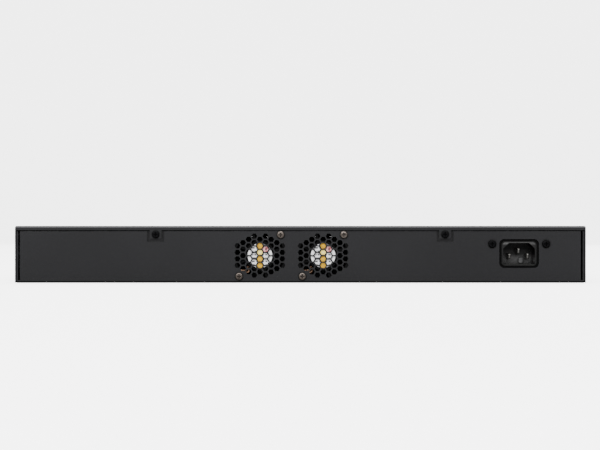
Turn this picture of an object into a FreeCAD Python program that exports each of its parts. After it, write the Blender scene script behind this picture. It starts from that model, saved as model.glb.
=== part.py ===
"""One-unit rackmount network switch with a rear fan pair and a rear mains inlet.

Frame: millimetres, origin on the floor plane under the middle of the case, +Z up,
front face towards -Y, rear wall towards +Y.
"""
import FreeCAD, Part
import math
import os

os.makedirs("parts", exist_ok=True)
V = FreeCAD.Vector

# ---------------------------------------------------------------- driving dimensions
case_width = 440.0
case_depth = 260.0
case_height = 44.0
sheet = 1.0
cover_gap = 0.4             # between the cover's sides and the pan's sides
pan_bend_radius = 1.7       # outside radius of the pan's rear bend
cover_bend_radius = 1.4     # outside radius of the cover's bends
touch = 0.02                # radial play of a screw in its thread
screw_play = 0.2            # radial play of a screw in a clearance hole
cut_past = 1.0              # how far a cutter runs past the face it leaves

# rear wall
lip_height = 3.35
lip_gap = 0.75
corner_slot_width = 1.6
corner_slot_floor = 2.1
tab_inset = 108.5           # from the case's side to the middle of a cover tab
tab_width = 9.0
tab_drop = 6.5              # below the lip's lower edge
tab_screw_drop = 3.2
recess_width = 13.0
recess_drop = 8.0
recess_depth = 1.1

# fans
fan_size = 40.0
fan_depth = 20.0
fan_lift = 0.1              # fan frame above the floor sheet
fan_places = (31.2, -17.5)
fan_corner = 2.5
fan_hole_inset = 4.0        # from the frame's sides
fan_wall = 1.25             # frame's thinnest wall round the bore
fan_flange = 4.0            # full-size flange at each end of the frame
fan_barrel_wall = 1.1       # wall between the flanges
fan_hub_radius = 11.5
fan_hub_inset = 0.8         # hub plate before the frame's rear face
fan_hub_plate = 2.2
fan_hub_cap = 1.1
fan_strut_size = 1.8
fan_strut_depth = 2.4
fan_strut_inset = 1.0
fan_strut_lap = 0.4
fan_strut_turn = 18.0       # degrees
fan_tip_gap = 0.55
fan_blades = 7
fan_root_lap = 0.6          # how far blades start inside the cup's wall
fan_blade_middle = 15.0     # radius of the middle section
fan_blade_table = ((52.0, 12.5), (42.0, 13.0), (34.0, 13.5))    # angle, chord
fan_blade_thickness = 0.9
fan_blade_camber = 1.4
fan_blade_set_back = 8.3
fan_cup_inset = 0.8
fan_cup_clear = 4.2         # cup before the frame's rear face
fan_cup_wall = 1.0
fan_cup_rounding = 0.9
fan_boss_radius = 2.2
fan_boss_length = 1.0
fan_shaft_radius = 1.0
fan_shaft_play = 0.03
fan_shaft_seat = 0.4        # shaft end behind the cup's face
fan_shaft_end = 3.4         # shaft end before the frame's rear face
fan_tube_radius = 3.4
fan_bearing_radius = 2.4
fan_bearing_width = 2.5
fan_bearing_front = 3.6
fan_bearing_back = 0.9
fan_bore_front = 1.6        # bearing bore's ends inside the frame's faces
fan_bore_back = 1.6
fan_stator_front = 5.5
fan_stator_back = 5.0
fan_stator_gap = 0.8
fan_stator_slot = 1.6
fan_slot_root = 6.4
fan_label_radius = 9.6
fan_label_sheet = 0.15
fan_screw_radius = 1.9
fan_screw_head = (2.9, 1.9)         # head radius and height
fan_screw_length = 9.0
fan_lead_radius = 0.6
fan_lead_bend = 1.3
fan_lead_pitch = 1.5
fan_lead_inset = 1.5        # leads before the frame's rear face
fan_lead_drop = 12.9        # lower lead below the fan's middle
fan_lead_clear = 1.6        # first lead outside the frame
fan_lead_level = 4.0        # level run past the frame's front
fan_lead_straight = 6.0     # straight run into the header
fan_lead_rise = 3.2
fan_lead_table = (((7.9, -9.4), 9.0), ((9.25, -8.2), 10.2))    # start, corner x
fan_notch_depth = 2.6
fan_notch_play = 0.9
fan_header_size = (7.0, 6.0, 6.0)
fan_header_inset = 8.0      # from the board's rear edge
fan_header_shift = 2.4
hex_flat = 4.0
hex_pitch = 5.0
grille_overlap = 0.25       # how far hole centres may lie outside the fan's bore
grille_flat = 3.25          # how far the grille's level top stays inside the bore

# mains inlet
inlet_inset = 51.5          # from the case's side to the middle of the inlet
inlet_height = 22.7
inlet_ring_side = 1.8       # open ring between the rim and the wall, at its sides
inlet_ring_top = 1.65
inlet_cut_radius = 3.8
inlet_rim_width = 27.0
inlet_rim_height = 19.0
inlet_rim_radius = 3.0
inlet_wall = 1.3
inlet_chamfer = 4.4
inlet_set_back = 0.2        # rim behind the wall's face
inlet_fit = 0.1             # round the rim in its bracket
inlet_flange = 2.5
inlet_flange_lap = 2.5      # how far the body's flange laps the bracket
inlet_cavity_depth = 16.5
inlet_body_depth = 25.0
inlet_screw_margin = 5.45   # from the cut-out's side to the screws
inlet_screw_rise = 7.4
inlet_pin_spacing = 14.0
inlet_earth_rise = 4.0
inlet_pin_width = 2.0
inlet_pin_height = 4.0
inlet_pin_rounding = 0.7
inlet_pin_set_back = 3.2    # pin tips behind the rim
inlet_pin_tail = 1.0
inlet_tab = (0.8, 4.8)      # solder tab's width and height
inlet_tab_length = 7.0
inlet_screw_radius = 1.5
inlet_screw_head = (3.05, 1.9)
bracket_sheet = 1.2
bracket_corner = 2.0
bracket_margin = 5.0        # past the screws
bracket_margin_top = 3.5    # past the rim's top and bottom

# main board
board_thickness = 1.6
board_standoff = 6.0
board_margin = 6.0          # board edge to the pan's inside
board_front_gap = 2.5       # board edge to the panel
board_rear_clear = 14.0     # board edge to the fans' front
standoff_jack_gap = 12.0    # jack blocks to the front row of standoffs
m3_radius = 1.5
m3_head = (2.8, 1.8)        # head radius and height
m3_length = 5.5
post_width = 5.5
post_inset = 5.0            # from the board's edges

# network jacks
jack_pitch = 14.0
jack_columns = 6
jack_wall = 1.2
port_set_back = 0.1         # connectors behind the skin's face
jack_block_height = 25.4
jack_block_depth = 24.0
jack_width = 11.9
jack_height = 6.9
jack_latch_width = 6.0
jack_latch_height = 2.6
jack_bar = 3.2              # solid bar between the upper and lower row
jack_depth = 14.0
jack_contacts = 8
jack_contact_pitch = 1.02
jack_contact_size = 0.35
jack_contact_length = 0.49  # along the plug's way, measured on the seat
jack_contact_start = 5.0
jack_contact_run = 6.0
jack_contact_rise = 2.2
jack_shell = 0.3
jack_shell_step = 1.6       # shell behind the block's face
light_width = 2.2
light_height = 1.5
light_gap = 0.7             # between a light and the latch notch
light_inset = 2.0           # from the block's top and bottom
light_back = 1.0            # pipe end before the block's back
console_depth = 21.0

# optical module cage
cage_ports = 4
cage_inner_width = 14.0
cage_inner_height = 8.95
cage_sheet = 0.4
cage_depth = 47.0
cage_lift = 0.6
socket_width = 11.2
socket_depth = 7.0
socket_height = 6.6
socket_slot = (9.2, 1.6, 3.0)       # width, height and height above the board
socket_slot_depth = 4.5
socket_set_back = 2.5               # socket to the cage's back
cage_floor_cut = 10.5               # floor opening over the sockets
cage_floor_back = 1.5
cage_floor_margin = 1.0
cage_foot = (0.8, 2.0)              # width and length
cage_foot_inset = 1.0
cage_foot_places = (12.0, 38.0)     # behind the cage's front

# front panel
panel_sheet = 1.0
skin_thickness = 0.3
panel_cut_gap = 0.3         # round each block that looks through the panel
front_margin = 15.0
block_gap = 12.0
panel_corner = 1.2
panel_tab_width = 8.0
panel_tab_length = 10.0
skin_inset = 0.6
intake_slots = 5
intake_slot_height = 2.4
intake_slot_pitch = 4.8
switch_set_back = 6.0       # board switches behind the panel
switch_size = 6.0
reset_lift = 5.0
reset_set_back = 0.5        # cap behind the skin
status_radius = 1.3
status_set_back = 0.05
status_reach = 8.0          # behind the panel
status_foot = (2.4, 2.0)    # width and depth
button_radius = 2.5
button_play = 0.35          # between a cap and its hole
button_end_gap = 0.1        # left between cap and switch, and flange and panel
button_pitch = 8.5          # reset hole, mode button and first light
button_travel = 0.8
button_stand = 1.0
cap_rounding = 0.2          # share of the cap's radius
cap_flange_lap = 0.9
cap_flange_depth = 1.0
reset_hole_radius = 1.0
reset_travel = 0.4
status_lights = 4
status_pitch = 6.0

# power supply
supply_width = 89.0
supply_length = 125.0
supply_height = 35.0
supply_side_gap = 5.0
supply_rear_gap = 40.0
supply_board_gap = 1.0
supply_outlet = 24.0        # opening for the low-voltage cable
supply_outlet_lift = 2.0
supply_lid_gap = 0.1
supply_lip = 6.0
supply_slots = 9
supply_slot_inset = 18.0
supply_slot_pitch = 10.0
supply_slot_width = 4.0
stud_inset = 6.0
stud_radius = 3.0
transformer_place = (6.0, 48.0)             # from the supply's middle and front
transformer_size = (34.0, 30.0, 24.0)
transformer_window = (22.0, 14.0, 14.0)
transformer_window_depth = 9.0
transformer_foot = 5.0
supply_can_rounding = 0.8
supply_can_table = (                        # x, y, radius and height
    (-24.0, 78.0, 9.0, 25.0),
    (-4.0, 78.0, 9.0, 25.0),
    (-22.0, 20.0, 5.0, 20.0),
    (-9.0, 20.0, 5.0, 20.0),
)
supply_sink_table = ((54.0, 40.0), (98.0, 34.0))    # y and length
supply_sink_inset = 9.0
supply_sink_web = 3.0
supply_sink_height = 24.0
supply_sink_fins = 4
supply_sink_fin = 5.0
supply_sink_fin_sheet = 1.2
supply_sink_fin_pitch = 5.0
supply_sink_fin_shift = 3.5
supply_sink_lift = 4.0
supply_choke_place = (-20.0, 18.0)          # from the supply's middle and rear
supply_choke_radius = 7.5
supply_choke_wire = 4.0

# board parts
chip_size = 31.0
chip_height = 2.4
chip_shift = 20.0           # from the middle between the jack blocks
chip_jack_gap = 62.0        # behind the jack blocks
chip_sink_size = (45.0, 16.0, 12)           # side, height, fins
port_chip_size = 15.0
port_chip_height = 1.6
port_chip_jack_gap = 20.0
port_sink_size = (19.0, 10.0, 6)
sink_base = 2.5
sink_gap_share = 0.6
memory_size = (9.0, 13.0, 1.2)
memory_pitch = (14.0, 16.0)
memory_shift = 38.0
choke_count = 5
choke_pitch = 16.0
choke_size = 10.5
choke_height = 5.0
choke_corner = 1.2
choke_inset = 14.0          # from the board's rear edge
choke_side_inset = 18.0
can_inset = 32.0
can_radius = 4.0
can_height = 11.5
can_rounding = 0.5
header_size = (9.0, 22.0, 10.0)
header_inset = 12.0         # from the board's step
header_set_back = 20.0      # from the supply's front

# cables
cable_radius = 1.0
cable_bend = 3.0
power_leads = 4
power_lead_pitch = 4.2
power_lead_rise = 6.0
power_lead_inset = 16.0
power_lead_engage = 0.5
mains_lead_radius = 1.3
mains_lead_pitch = 9.0
mains_lead_rise = 8.0
mains_lead_run = 8.0        # straight run off the solder tab
mains_lead_gap = 5.0        # before the supply
mains_lead_reach = 7.0      # into the supply

# ear screw holes in the case sides
ear_hole_radius = 2.0
ear_hole_pitch_y = 20.0
ear_hole_pitch_z = 24.0
ear_hole_inset = 22.0
ear_hole_centre = 22.0
ear_cover_play = 0.6

# cover fixing and side vents
tab_screw_radius = 1.5
tab_screw_head = (2.9, 1.5)         # head radius and height
cover_screw_radius = 1.5
cover_screw_head = (2.8, 1.5)
cover_screw_height = 30.0
cover_screw_length = 5.0
cover_front_inset = 60.0
cover_rear_inset = 45.0
cover_floor_gap = 0.3
wall_flange_gap = 1.5
wall_flange_depth = 8.0
vent_rows = 4
vent_columns = 12
vent_floor = 12.0
vent_front_inset = 75.0
vent_rear_inset = 55.0
vent_window_margin = 2.0

# ---------------------------------------------------------------- derived planes
half_width = case_width / 2
rear = case_depth / 2
front = -case_depth / 2
pan_half = half_width - sheet - cover_gap
pan_inside = pan_half - sheet
pan_top = case_height - lip_height - lip_gap
rear_inside = rear - sheet
wall_half = pan_inside - corner_slot_width
skin_back = front + skin_thickness
panel_back = skin_back + panel_sheet
roof_under = case_height - sheet
cover_screw_rows = (front + cover_front_inset, 0.0, rear - cover_rear_inset)
fan_height = sheet + fan_lift + fan_size / 2
fan_bore_radius = fan_size / 2 - fan_wall
fan_hole_spacing = fan_size - 2 * fan_hole_inset
inlet_cut_width = inlet_rim_width + 2 * inlet_ring_side
inlet_cut_height = inlet_rim_height + 2 * inlet_ring_top
inlet_screw_spacing = inlet_cut_width + 2 * inlet_screw_margin
fan_front = rear_inside - fan_depth
board_low = sheet + board_standoff
board_top = board_low + board_thickness
inlet_x = -half_width + inlet_inset
inlet_face = rear - inlet_set_back
inlet_back = inlet_face - inlet_body_depth
tab_places = (half_width - tab_inset, -half_width + tab_inset)
supply_low_x = -pan_inside + supply_side_gap
supply_high_x = supply_low_x + supply_width
supply_rear = rear_inside - supply_rear_gap
supply_front = supply_rear - supply_length

# front row, from the left
jack_block_width = jack_columns * jack_pitch + 2 * jack_wall
cage_pitch = cage_inner_width + cage_sheet
cage_width = cage_ports * cage_pitch + cage_sheet
console_width = jack_pitch + jack_wall
console_x = -pan_inside + front_margin + console_width / 2
reset_x = console_x + console_width / 2 + button_pitch
button_x = reset_x + button_pitch
status_x = button_x + button_pitch
status_end = status_x + (status_lights - 1) * status_pitch
left_block_x = status_end + block_gap + jack_block_width / 2
right_block_x = left_block_x + jack_block_width + block_gap
cage_x = right_block_x + jack_block_width / 2 + block_gap + cage_width / 2
intake_start = cage_x + cage_width / 2 + block_gap
intake_end = pan_inside - front_margin
port_front = front + port_set_back
row_middle = board_top + jack_block_height / 2
indicator_height = row_middle + 5.0
reset_height = board_top + reset_lift
console_height = jack_height + jack_latch_height + 2 * jack_wall


# ---------------------------------------------------------------- small helpers
def block(x0, x1, y0, y1, z0, z1):
    return Part.makeBox(x1 - x0, y1 - y0, z1 - z0, V(x0, y0, z0))


def block_at(x, y, z, width, depth, height):
    return block(x - width / 2, x + width / 2, y - depth / 2, y + depth / 2, z, z + height)


def rod_x(x0, x1, y, z, radius):
    return Part.makeCylinder(radius, x1 - x0, V(x0, y, z), V(1, 0, 0))


def rod_y(x, y0, y1, z, radius):
    return Part.makeCylinder(radius, y1 - y0, V(x, y0, z), V(0, 1, 0))


def rod_z(x, y, z0, z1, radius):
    return Part.makeCylinder(radius, z1 - z0, V(x, y, z0), V(0, 0, 1))


def rear_hole(x, z, radius):
    """A round cutter through the rear wall and the cover's tabs."""
    return rod_y(x, rear_inside - cut_past, rear + cut_past, z, radius)


def side_hole(side, y, z, radius):
    """A round cutter through one side of the pan and of the cover."""
    inner = side * (pan_inside - cut_past)
    outer = side * (half_width + cut_past)
    return rod_x(min(inner, outer), max(inner, outer), y, z, radius)


def side_block(side, y0, y1, z0, z1):
    """A rectangular cutter through one side of the pan and of the cover."""
    inner = side * (pan_inside - cut_past)
    outer = side * (half_width + cut_past)
    return block(min(inner, outer), max(inner, outer), y0, y1, z0, z1)


def prism_y(points, y0, y1):
    """A straight prism along +Y from (x, z) corners."""
    corners = [V(x, y0, z) for x, z in points]
    face = Part.Face(Part.makePolygon(corners + corners[:1]))
    return face.extrude(V(0, y1 - y0, 0))


def prism_x(points, x0, x1):
    """A straight prism along +X from (y, z) corners."""
    corners = [V(x0, y, z) for y, z in points]
    face = Part.Face(Part.makePolygon(corners + corners[:1]))
    return face.extrude(V(x1 - x0, 0, 0))


def prism_z(points, z0, z1):
    """A straight prism along +Z from (x, y) corners."""
    corners = [V(x, y, z0) for x, y in points]
    face = Part.Face(Part.makePolygon(corners + corners[:1]))
    return face.extrude(V(0, 0, z1 - z0))


def hexagon(x, z, flat):
    """Corners of a hexagon with level top and bottom sides."""
    corner = flat / math.sqrt(3)
    turns = [math.radians(60 * k) for k in range(6)]
    return [(x + corner * math.cos(a), z + corner * math.sin(a)) for a in turns]


def soften(shape, radius, wanted):
    """Round every edge whose middle passes the test."""
    edges = [e for e in shape.Edges if wanted(e, e.CenterOfMass)]
    return shape.makeFillet(radius, edges)


def runs_along(edge, axis):
    """True for a straight edge along the axis vector."""
    if not isinstance(edge.Curve, Part.Line):
        return False
    return abs(abs(edge.Curve.Direction.dot(axis)) - 1) < 1e-6


def near(value, target):
    return abs(value - target) < 1e-4


def rounded_block_y(x, z, width, height, y0, y1, radius):
    """A block along Y with its four long edges rounded."""
    body = block(x - width / 2, x + width / 2, y0, y1, z - height / 2, z + height / 2)
    return soften(body, radius, lambda e, c: runs_along(e, V(0, 1, 0)))


def pan_screw(place, outward, head_size, shank_radius, shank_length):
    """A pan-head cross-recess screw whose head seats at place and points outward."""
    head_radius, head_height = head_size
    head = Part.makeCylinder(head_radius, head_height, place, outward)
    rim = [e for e in head.Edges if e.CenterOfMass.distanceToPoint(place) > head_height * 0.9]
    head = head.makeFillet(head_height * 0.45, [e for e in rim if e.Closed])
    shank = Part.makeCylinder(shank_radius, shank_length, place - outward * shank_length, outward)
    screw = head.fuse(shank).removeSplitter()
    return screw.cut(cross_recess(place + outward * head_height, outward, head_radius, head_height))


def cross_recess(top, outward, head_radius, head_height):
    """Two crossed slots that make a driver recess at the head's top."""
    length = head_radius * 1.1
    width = head_radius * 0.24
    deep = head_height * 0.6
    bars = []
    for long_way, short_way in ((length, width), (width, length)):
        bar = Part.makeBox(long_way, short_way, deep, V(-long_way / 2, -short_way / 2, -deep))
        bar.Placement = FreeCAD.Placement(top, FreeCAD.Rotation(V(0, 0, 1), outward))
        bars.append(bar)
    return bars[0].fuse(bars[1])


def cable(points, radius, bend):
    """A round cable through the points: straight runs joined by tangent arcs."""
    places = [V(*p) for p in points]
    edges = []
    start = places[0]
    for before, corner, after in zip(places, places[1:], places[2:]):
        back = (before - corner).normalize()
        ahead = (after - corner).normalize()
        half_turn = math.acos(max(-1.0, min(1.0, back.dot(ahead)))) / 2
        set_back = bend / math.tan(half_turn)
        arc_start = corner + back * set_back
        arc_end = corner + ahead * set_back
        middle_way = (back + ahead).normalize()
        middle = corner + middle_way * (bend / math.sin(half_turn) - bend)
        edges.append(Part.LineSegment(start, arc_start).toShape())
        edges.append(Part.Arc(arc_start, middle, arc_end).toShape())
        start = arc_end
    edges.append(Part.LineSegment(start, places[-1]).toShape())
    path = Part.Wire(edges)
    ring = Part.Wire(Part.makeCircle(radius, places[0], places[1] - places[0]))
    return path.makePipeShell([ring], True, False)


def save(node, *solids):
    """Write one node; several pieces of one kind go in as separate solids."""
    shape = solids[0] if len(solids) == 1 else Part.makeCompound(list(solids))
    shape.exportStep("parts/%s.step" % node)


# ---------------------------------------------------------------- fan grille and openings
def grille_holes(x, z, y0, y1):
    """Staggered hexagons that fill the fan's round opening."""
    step = hex_pitch * math.sqrt(3) / 2
    reach = fan_bore_radius + grille_overlap
    top = fan_bore_radius - grille_flat
    columns = int(reach // step)
    rows = int(reach // hex_pitch) + 1
    holes = []
    for column in range(-columns, columns + 1):
        lift = 0.0 if column % 2 else hex_pitch / 2
        for row in range(-rows, rows + 1):
            away = column * step
            height = row * hex_pitch + lift
            if abs(height) < top and math.hypot(away, height) < reach:
                holes.append(prism_y(hexagon(x + away, z + height, hex_flat), y0, y1))
    return holes


def fan_screw_places(x):
    """The two opposite corners that carry a screw."""
    reach = fan_hole_spacing / 2
    return [(x - reach, fan_height + reach), (x + reach, fan_height - reach)]


def inlet_screw_places():
    reach = inlet_screw_spacing / 2
    return [(inlet_x + side * reach, inlet_height + inlet_screw_rise) for side in (-1, 1)]


def ear_hole_places():
    """Y, Z of the four ear screws in one side."""
    middle = front + ear_hole_inset
    return [
        (middle + a * ear_hole_pitch_y / 2, ear_hole_centre + b * ear_hole_pitch_z / 2)
        for a in (-1, 1)
        for b in (-1, 1)
    ]


def side_vents():
    """Starts of the two vent groups along each side, and the length of one group."""
    step = hex_pitch * math.sqrt(3) / 2
    length = (vent_columns - 1) * step
    return [front + vent_front_inset, rear - vent_rear_inset - length], length


def vent_places():
    """Y, Z of every vent hole in one side of the cover."""
    step = hex_pitch * math.sqrt(3) / 2
    places = []
    for start in side_vents()[0]:
        for column in range(vent_columns):
            lift = hex_pitch / 2 * (column % 2)
            for row in range(vent_rows):
                places.append((start + column * step, vent_floor + row * hex_pitch + lift))
    return places


# ---------------------------------------------------------------- case
def chassis_base():
    """Pan: floor, rear wall with grilles, inlet cut-out and recesses, and two sides."""
    body = block(-pan_half, pan_half, panel_back, rear, 0, sheet)
    body = body.fuse(
        [
            block(-pan_half, pan_half, rear_inside, rear, 0, pan_top),
            block(-pan_half, -pan_inside, panel_back, rear, 0, pan_top),
            block(pan_inside, pan_half, panel_back, rear, 0, pan_top),
        ]
    ).removeSplitter()
    body = soften(
        body,
        pan_bend_radius,
        lambda e, c: runs_along(e, V(1, 0, 0)) and near(c.y, rear) and near(c.z, 0),
    )
    body = body.fuse([wall_flange()] + [recess_plate(x) for x in tab_places]).removeSplitter()
    cuts = [recess_pocket(x) for x in tab_places]
    screw_end = rear - cover_screw_length - cut_past
    thread = tab_screw_radius + touch
    cuts += [rod_y(x, screw_end, rear, tab_screw_height(), thread) for x in tab_places]
    for side in (-1, 1):
        cuts.append(corner_slot(side))
        cuts += pan_side_cuts(side)
    for x in fan_places:
        cuts += grille_holes(x, fan_height, rear_inside - cut_past, rear + cut_past)
        cuts += [rear_hole(a, b, fan_screw_radius + touch) for a, b in fan_screw_places(x)]
    cuts.append(inlet_cut_out())
    cuts += [rear_hole(a, b, inlet_screw_radius + touch) for a, b in inlet_screw_places()]
    cuts += [rod_z(x, y, -cut_past, sheet + cut_past, m3_radius) for x, y in panel_screw_places()]
    save("chassis_base", body.cut(cuts))


def wall_flange():
    """Stiffening return along the rear wall's top, beside the fans."""
    start = max(fan_places) + fan_size / 2 + wall_flange_gap
    low = pan_top - sheet
    return block(start, wall_half, rear_inside - wall_flange_depth, rear_inside, low, pan_top)


def corner_slot(side):
    """Open slot between the rear wall and one side of the pan."""
    low = min(side * wall_half, side * pan_inside)
    floor = corner_slot_floor
    high = low + corner_slot_width
    return block(low, high, rear_inside - cut_past, rear + cut_past, floor, pan_top)


def inlet_cut_out():
    return rounded_block_y(
        inlet_x,
        inlet_height,
        inlet_cut_width,
        inlet_cut_height,
        rear_inside - cut_past,
        rear + cut_past,
        inlet_cut_radius,
    )


def tab_screw_height():
    return case_height - lip_height - tab_screw_drop


def recess_plate(x):
    """Back of the embossed seat that a cover tab lies in."""
    half = recess_width / 2 + sheet
    floor = pan_top - recess_drop - sheet
    return block(x - half, x + half, rear - recess_depth - sheet, rear, floor, pan_top)


def recess_pocket(x):
    half = recess_width / 2
    floor = pan_top - recess_drop
    return block(x - half, x + half, rear - recess_depth, rear + cut_past, floor, pan_top + cut_past)


def pan_side_cuts(side):
    """Vent windows, cover screw holes and ear screw holes in one side of the pan."""
    starts, length = side_vents()
    bottom = vent_floor - hex_pitch / 2 - vent_window_margin
    top = bottom + (vent_rows + 0.5) * hex_pitch + 2 * vent_window_margin
    reach = hex_pitch / 2 + vent_window_margin
    cuts = [side_block(side, start - reach, start + length + reach, bottom, top) for start in starts]
    thread = cover_screw_radius + touch
    cuts += [side_hole(side, y, cover_screw_height, thread) for y in cover_screw_rows]
    cuts += [side_hole(side, y, z, ear_hole_radius) for y, z in ear_hole_places()]
    return cuts


def top_cover():
    """Cover: roof, two full-height sides, a rear lip and two screw tabs."""
    lip_floor = case_height - lip_height
    body = block(-half_width, half_width, panel_back, rear, roof_under, case_height)
    body = body.fuse(
        [
            block(-half_width, -half_width + sheet, panel_back, rear, cover_floor_gap, case_height),
            block(half_width - sheet, half_width, panel_back, rear, cover_floor_gap, case_height),
            block(-half_width, half_width, rear_inside, rear, lip_floor, case_height),
        ]
    ).removeSplitter()
    body = soften(
        body,
        cover_bend_radius,
        lambda e, c: near(c.z, case_height) and (near(c.y, rear) or near(abs(c.x), half_width)),
    )
    tabs = []
    for x in tab_places:
        half = tab_width / 2
        tabs.append(block(x - half, x + half, rear_inside, rear, lip_floor - tab_drop, lip_floor))
    body = body.fuse(tabs).removeSplitter()
    cuts = [rear_hole(x, tab_screw_height(), tab_screw_radius + screw_play) for x in tab_places]
    for side in (-1, 1):
        cuts += [side_vent(side, y, z) for y, z in vent_places()]
        clear = cover_screw_radius + screw_play
        cuts += [side_hole(side, y, cover_screw_height, clear) for y in cover_screw_rows]
        clear = ear_hole_radius + ear_cover_play
        cuts += [side_hole(side, y, z, clear) for y, z in ear_hole_places()]
    save("top_cover", body.cut(cuts))


def side_vent(side, y, z):
    """One hexagonal cutter through a side of the cover."""
    low = side * half_width - sheet - cut_past
    return prism_x(hexagon(y, z, hex_flat), low, low + 2 * (sheet + cut_past))


def cover_screws():
    outward = V(0, 1, 0)
    rear_set = []
    for x in tab_places:
        place = V(x, rear, tab_screw_height())
        screw = pan_screw(place, outward, tab_screw_head, tab_screw_radius, cover_screw_length)
        rear_set.append(screw)
    save("cover_rear_screws", *rear_set)
    side_set = []
    for y in cover_screw_rows:
        for side in (-1, 1):
            place = V(side * half_width, y, cover_screw_height)
            outward = V(side, 0, 0)
            screw = pan_screw(place, outward, cover_screw_head, cover_screw_radius, cover_screw_length)
            side_set.append(screw)
    save("cover_side_screws", *side_set)


# ---------------------------------------------------------------- front
def front_windows():
    """Openings that the panel and its skin share, as (x, z, width, height)."""
    gap = 2 * panel_cut_gap
    block_z = board_top + jack_block_height / 2
    windows = []
    for x in (left_block_x, right_block_x):
        windows.append((x, block_z, jack_block_width + gap, jack_block_height + gap))
    windows.append((cage_x, cage_middle(), cage_width + gap, cage_outer_height() + gap))
    console_z = board_top + console_height / 2
    windows.append((console_x, console_z, console_width + gap, console_height + gap))
    return windows


def cage_middle():
    return board_top + cage_lift + cage_sheet + cage_inner_height / 2


def front_cuts(y0, y1):
    """Everything cut through the front sheets between y0 and y1."""
    cuts = []
    for x, z, width, height in front_windows():
        cuts.append(block(x - width / 2, x + width / 2, y0, y1, z - height / 2, z + height / 2))
    cuts.append(rod_y(button_x, y0, y1, indicator_height, button_radius + button_play))
    cuts.append(rod_y(reset_x, y0, y1, reset_height, reset_hole_radius))
    for k in range(status_lights):
        cuts.append(rod_y(status_x + k * status_pitch, y0, y1, indicator_height, status_radius))
    half = intake_slot_height / 2
    for k in range(intake_slots):
        z = row_middle + (k - (intake_slots - 1) / 2) * intake_slot_pitch
        cuts.append(block(intake_start, intake_end, y0, y1, z - half, z + half))
    return cuts


def panel_screw_places():
    """X, Y of the screws that hold the panel's tabs, one in each gap of the front row."""
    row_gaps = [
        front_margin / 2 - pan_inside,
        status_end + block_gap / 2,
        (left_block_x + right_block_x) / 2,
        cage_x - (cage_width + block_gap) / 2,
        intake_start - block_gap / 2,
        pan_inside - front_margin / 2,
    ]
    return [(x, panel_back + panel_tab_length / 2) for x in row_gaps]


def front_panel():
    """Front plate with short tabs that are screwed down to the pan's floor, and its skin."""
    plate = block(-half_width, half_width, skin_back, panel_back, 0, case_height)
    plate = soften(plate, panel_corner, lambda e, c: runs_along(e, V(0, 1, 0)))
    half = panel_tab_width / 2
    tab_end = panel_back + panel_tab_length
    screw_places = panel_screw_places()
    tabs = [block(x - half, x + half, skin_back, tab_end, sheet, 2 * sheet) for x, _ in screw_places]
    body = plate.fuse(tabs).removeSplitter()
    cuts = front_cuts(skin_back - cut_past, panel_back + cut_past)
    for x, y in panel_screw_places():
        cuts.append(rod_z(x, y, sheet - touch, 2 * sheet + cut_past, m3_radius + touch))
    save("front_panel", body.cut(cuts))
    reach = half_width - skin_inset
    skin = block(-reach, reach, front, skin_back, skin_inset, case_height - skin_inset)
    skin = soften(skin, panel_corner, lambda e, c: runs_along(e, V(0, 1, 0)))
    save("front_skin", skin.cut(front_cuts(front - cut_past, skin_back + cut_past)))
    screws = []
    for x, y in panel_screw_places():
        place = V(x, y, 2 * sheet)
        length = 2 * sheet - screw_play
        screws.append(pan_screw(place, V(0, 0, 1), m3_head, m3_radius - touch, length))
    save("front_panel_screws", *screws)


# ---------------------------------------------------------------- main board
def board_outline():
    """L-shaped board: full width at the front, clear of the supply and the fans."""
    low_x = -pan_inside + board_margin
    step_x = supply_high_x + board_margin
    high_x = pan_inside - board_margin
    front_y = panel_back + board_front_gap
    step_y = supply_front - board_margin
    back_y = board_back()
    front_corners = [(low_x, front_y), (high_x, front_y)]
    return front_corners + [(high_x, back_y), (step_x, back_y), (step_x, step_y), (low_x, step_y)]


def board_back():
    return fan_front - board_rear_clear


def behind_jacks(distance):
    """Y of a place on the board at a distance behind the jack blocks."""
    return panel_back + board_front_gap + jack_block_depth + distance


def standoff_places():
    (low_x, _), (high_x, _), (_, back_y), (step_x, _), (_, step_y), _ = board_outline()
    left = low_x + post_inset
    right = high_x - post_inset
    stepped = step_x + post_inset
    middle = (step_x + high_x) / 2
    front_row = behind_jacks(standoff_jack_gap)
    rear_row = back_y - post_inset
    places = [(left, front_row), (left, step_y - post_inset)]
    places += [(x, front_row) for x in (stepped, middle, right)]
    places += [(x, rear_row) for x in (stepped, middle, right)]
    return places


def supply_stud_places():
    xs = (supply_low_x + sheet + stud_inset, supply_high_x - sheet - stud_inset)
    ys = (supply_front + stud_inset, supply_rear - stud_inset)
    return [(x, y) for x in xs for y in ys]


def board_holes(places):
    low = board_low - cut_past
    high = board_top + cut_past
    return [rod_z(x, y, low, high, m3_radius + screw_play) for x, y in places]


def board_and_screws():
    outline = prism_z(board_outline(), board_low, board_top)
    save("main_board", outline.cut(board_holes(standoff_places())))
    standoffs = []
    for x, y in standoff_places():
        post = prism_z(hexagon(x, y, post_width), sheet, board_low)
        standoffs.append(post.cut(rod_z(x, y, sheet, board_low, m3_radius)))
    save("board_standoffs", *standoffs)
    screws = []
    for x, y in standoff_places() + supply_stud_places():
        place = V(x, y, board_top)
        screws.append(pan_screw(place, V(0, 0, 1), m3_head, m3_radius - touch, m3_length))
    save("board_screws", *screws)


# ---------------------------------------------------------------- network jacks
def jack_cavity(x, floor, latch_side):
    """One plug cavity with its latch notch; latch_side is +1 above or -1 below."""
    y0 = port_front - cut_past
    y1 = port_front + jack_depth
    half = jack_width / 2
    latch_half = jack_latch_width / 2
    ceiling = floor + jack_height
    main = block(x - half, x + half, y0, y1, floor, ceiling)
    if latch_side > 0:
        notch = block(x - latch_half, x + latch_half, y0, y1, floor, ceiling + jack_latch_height)
    else:
        notch = block(x - latch_half, x + latch_half, y0, y1, floor - jack_latch_height, ceiling)
    return main.fuse(notch)


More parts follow.
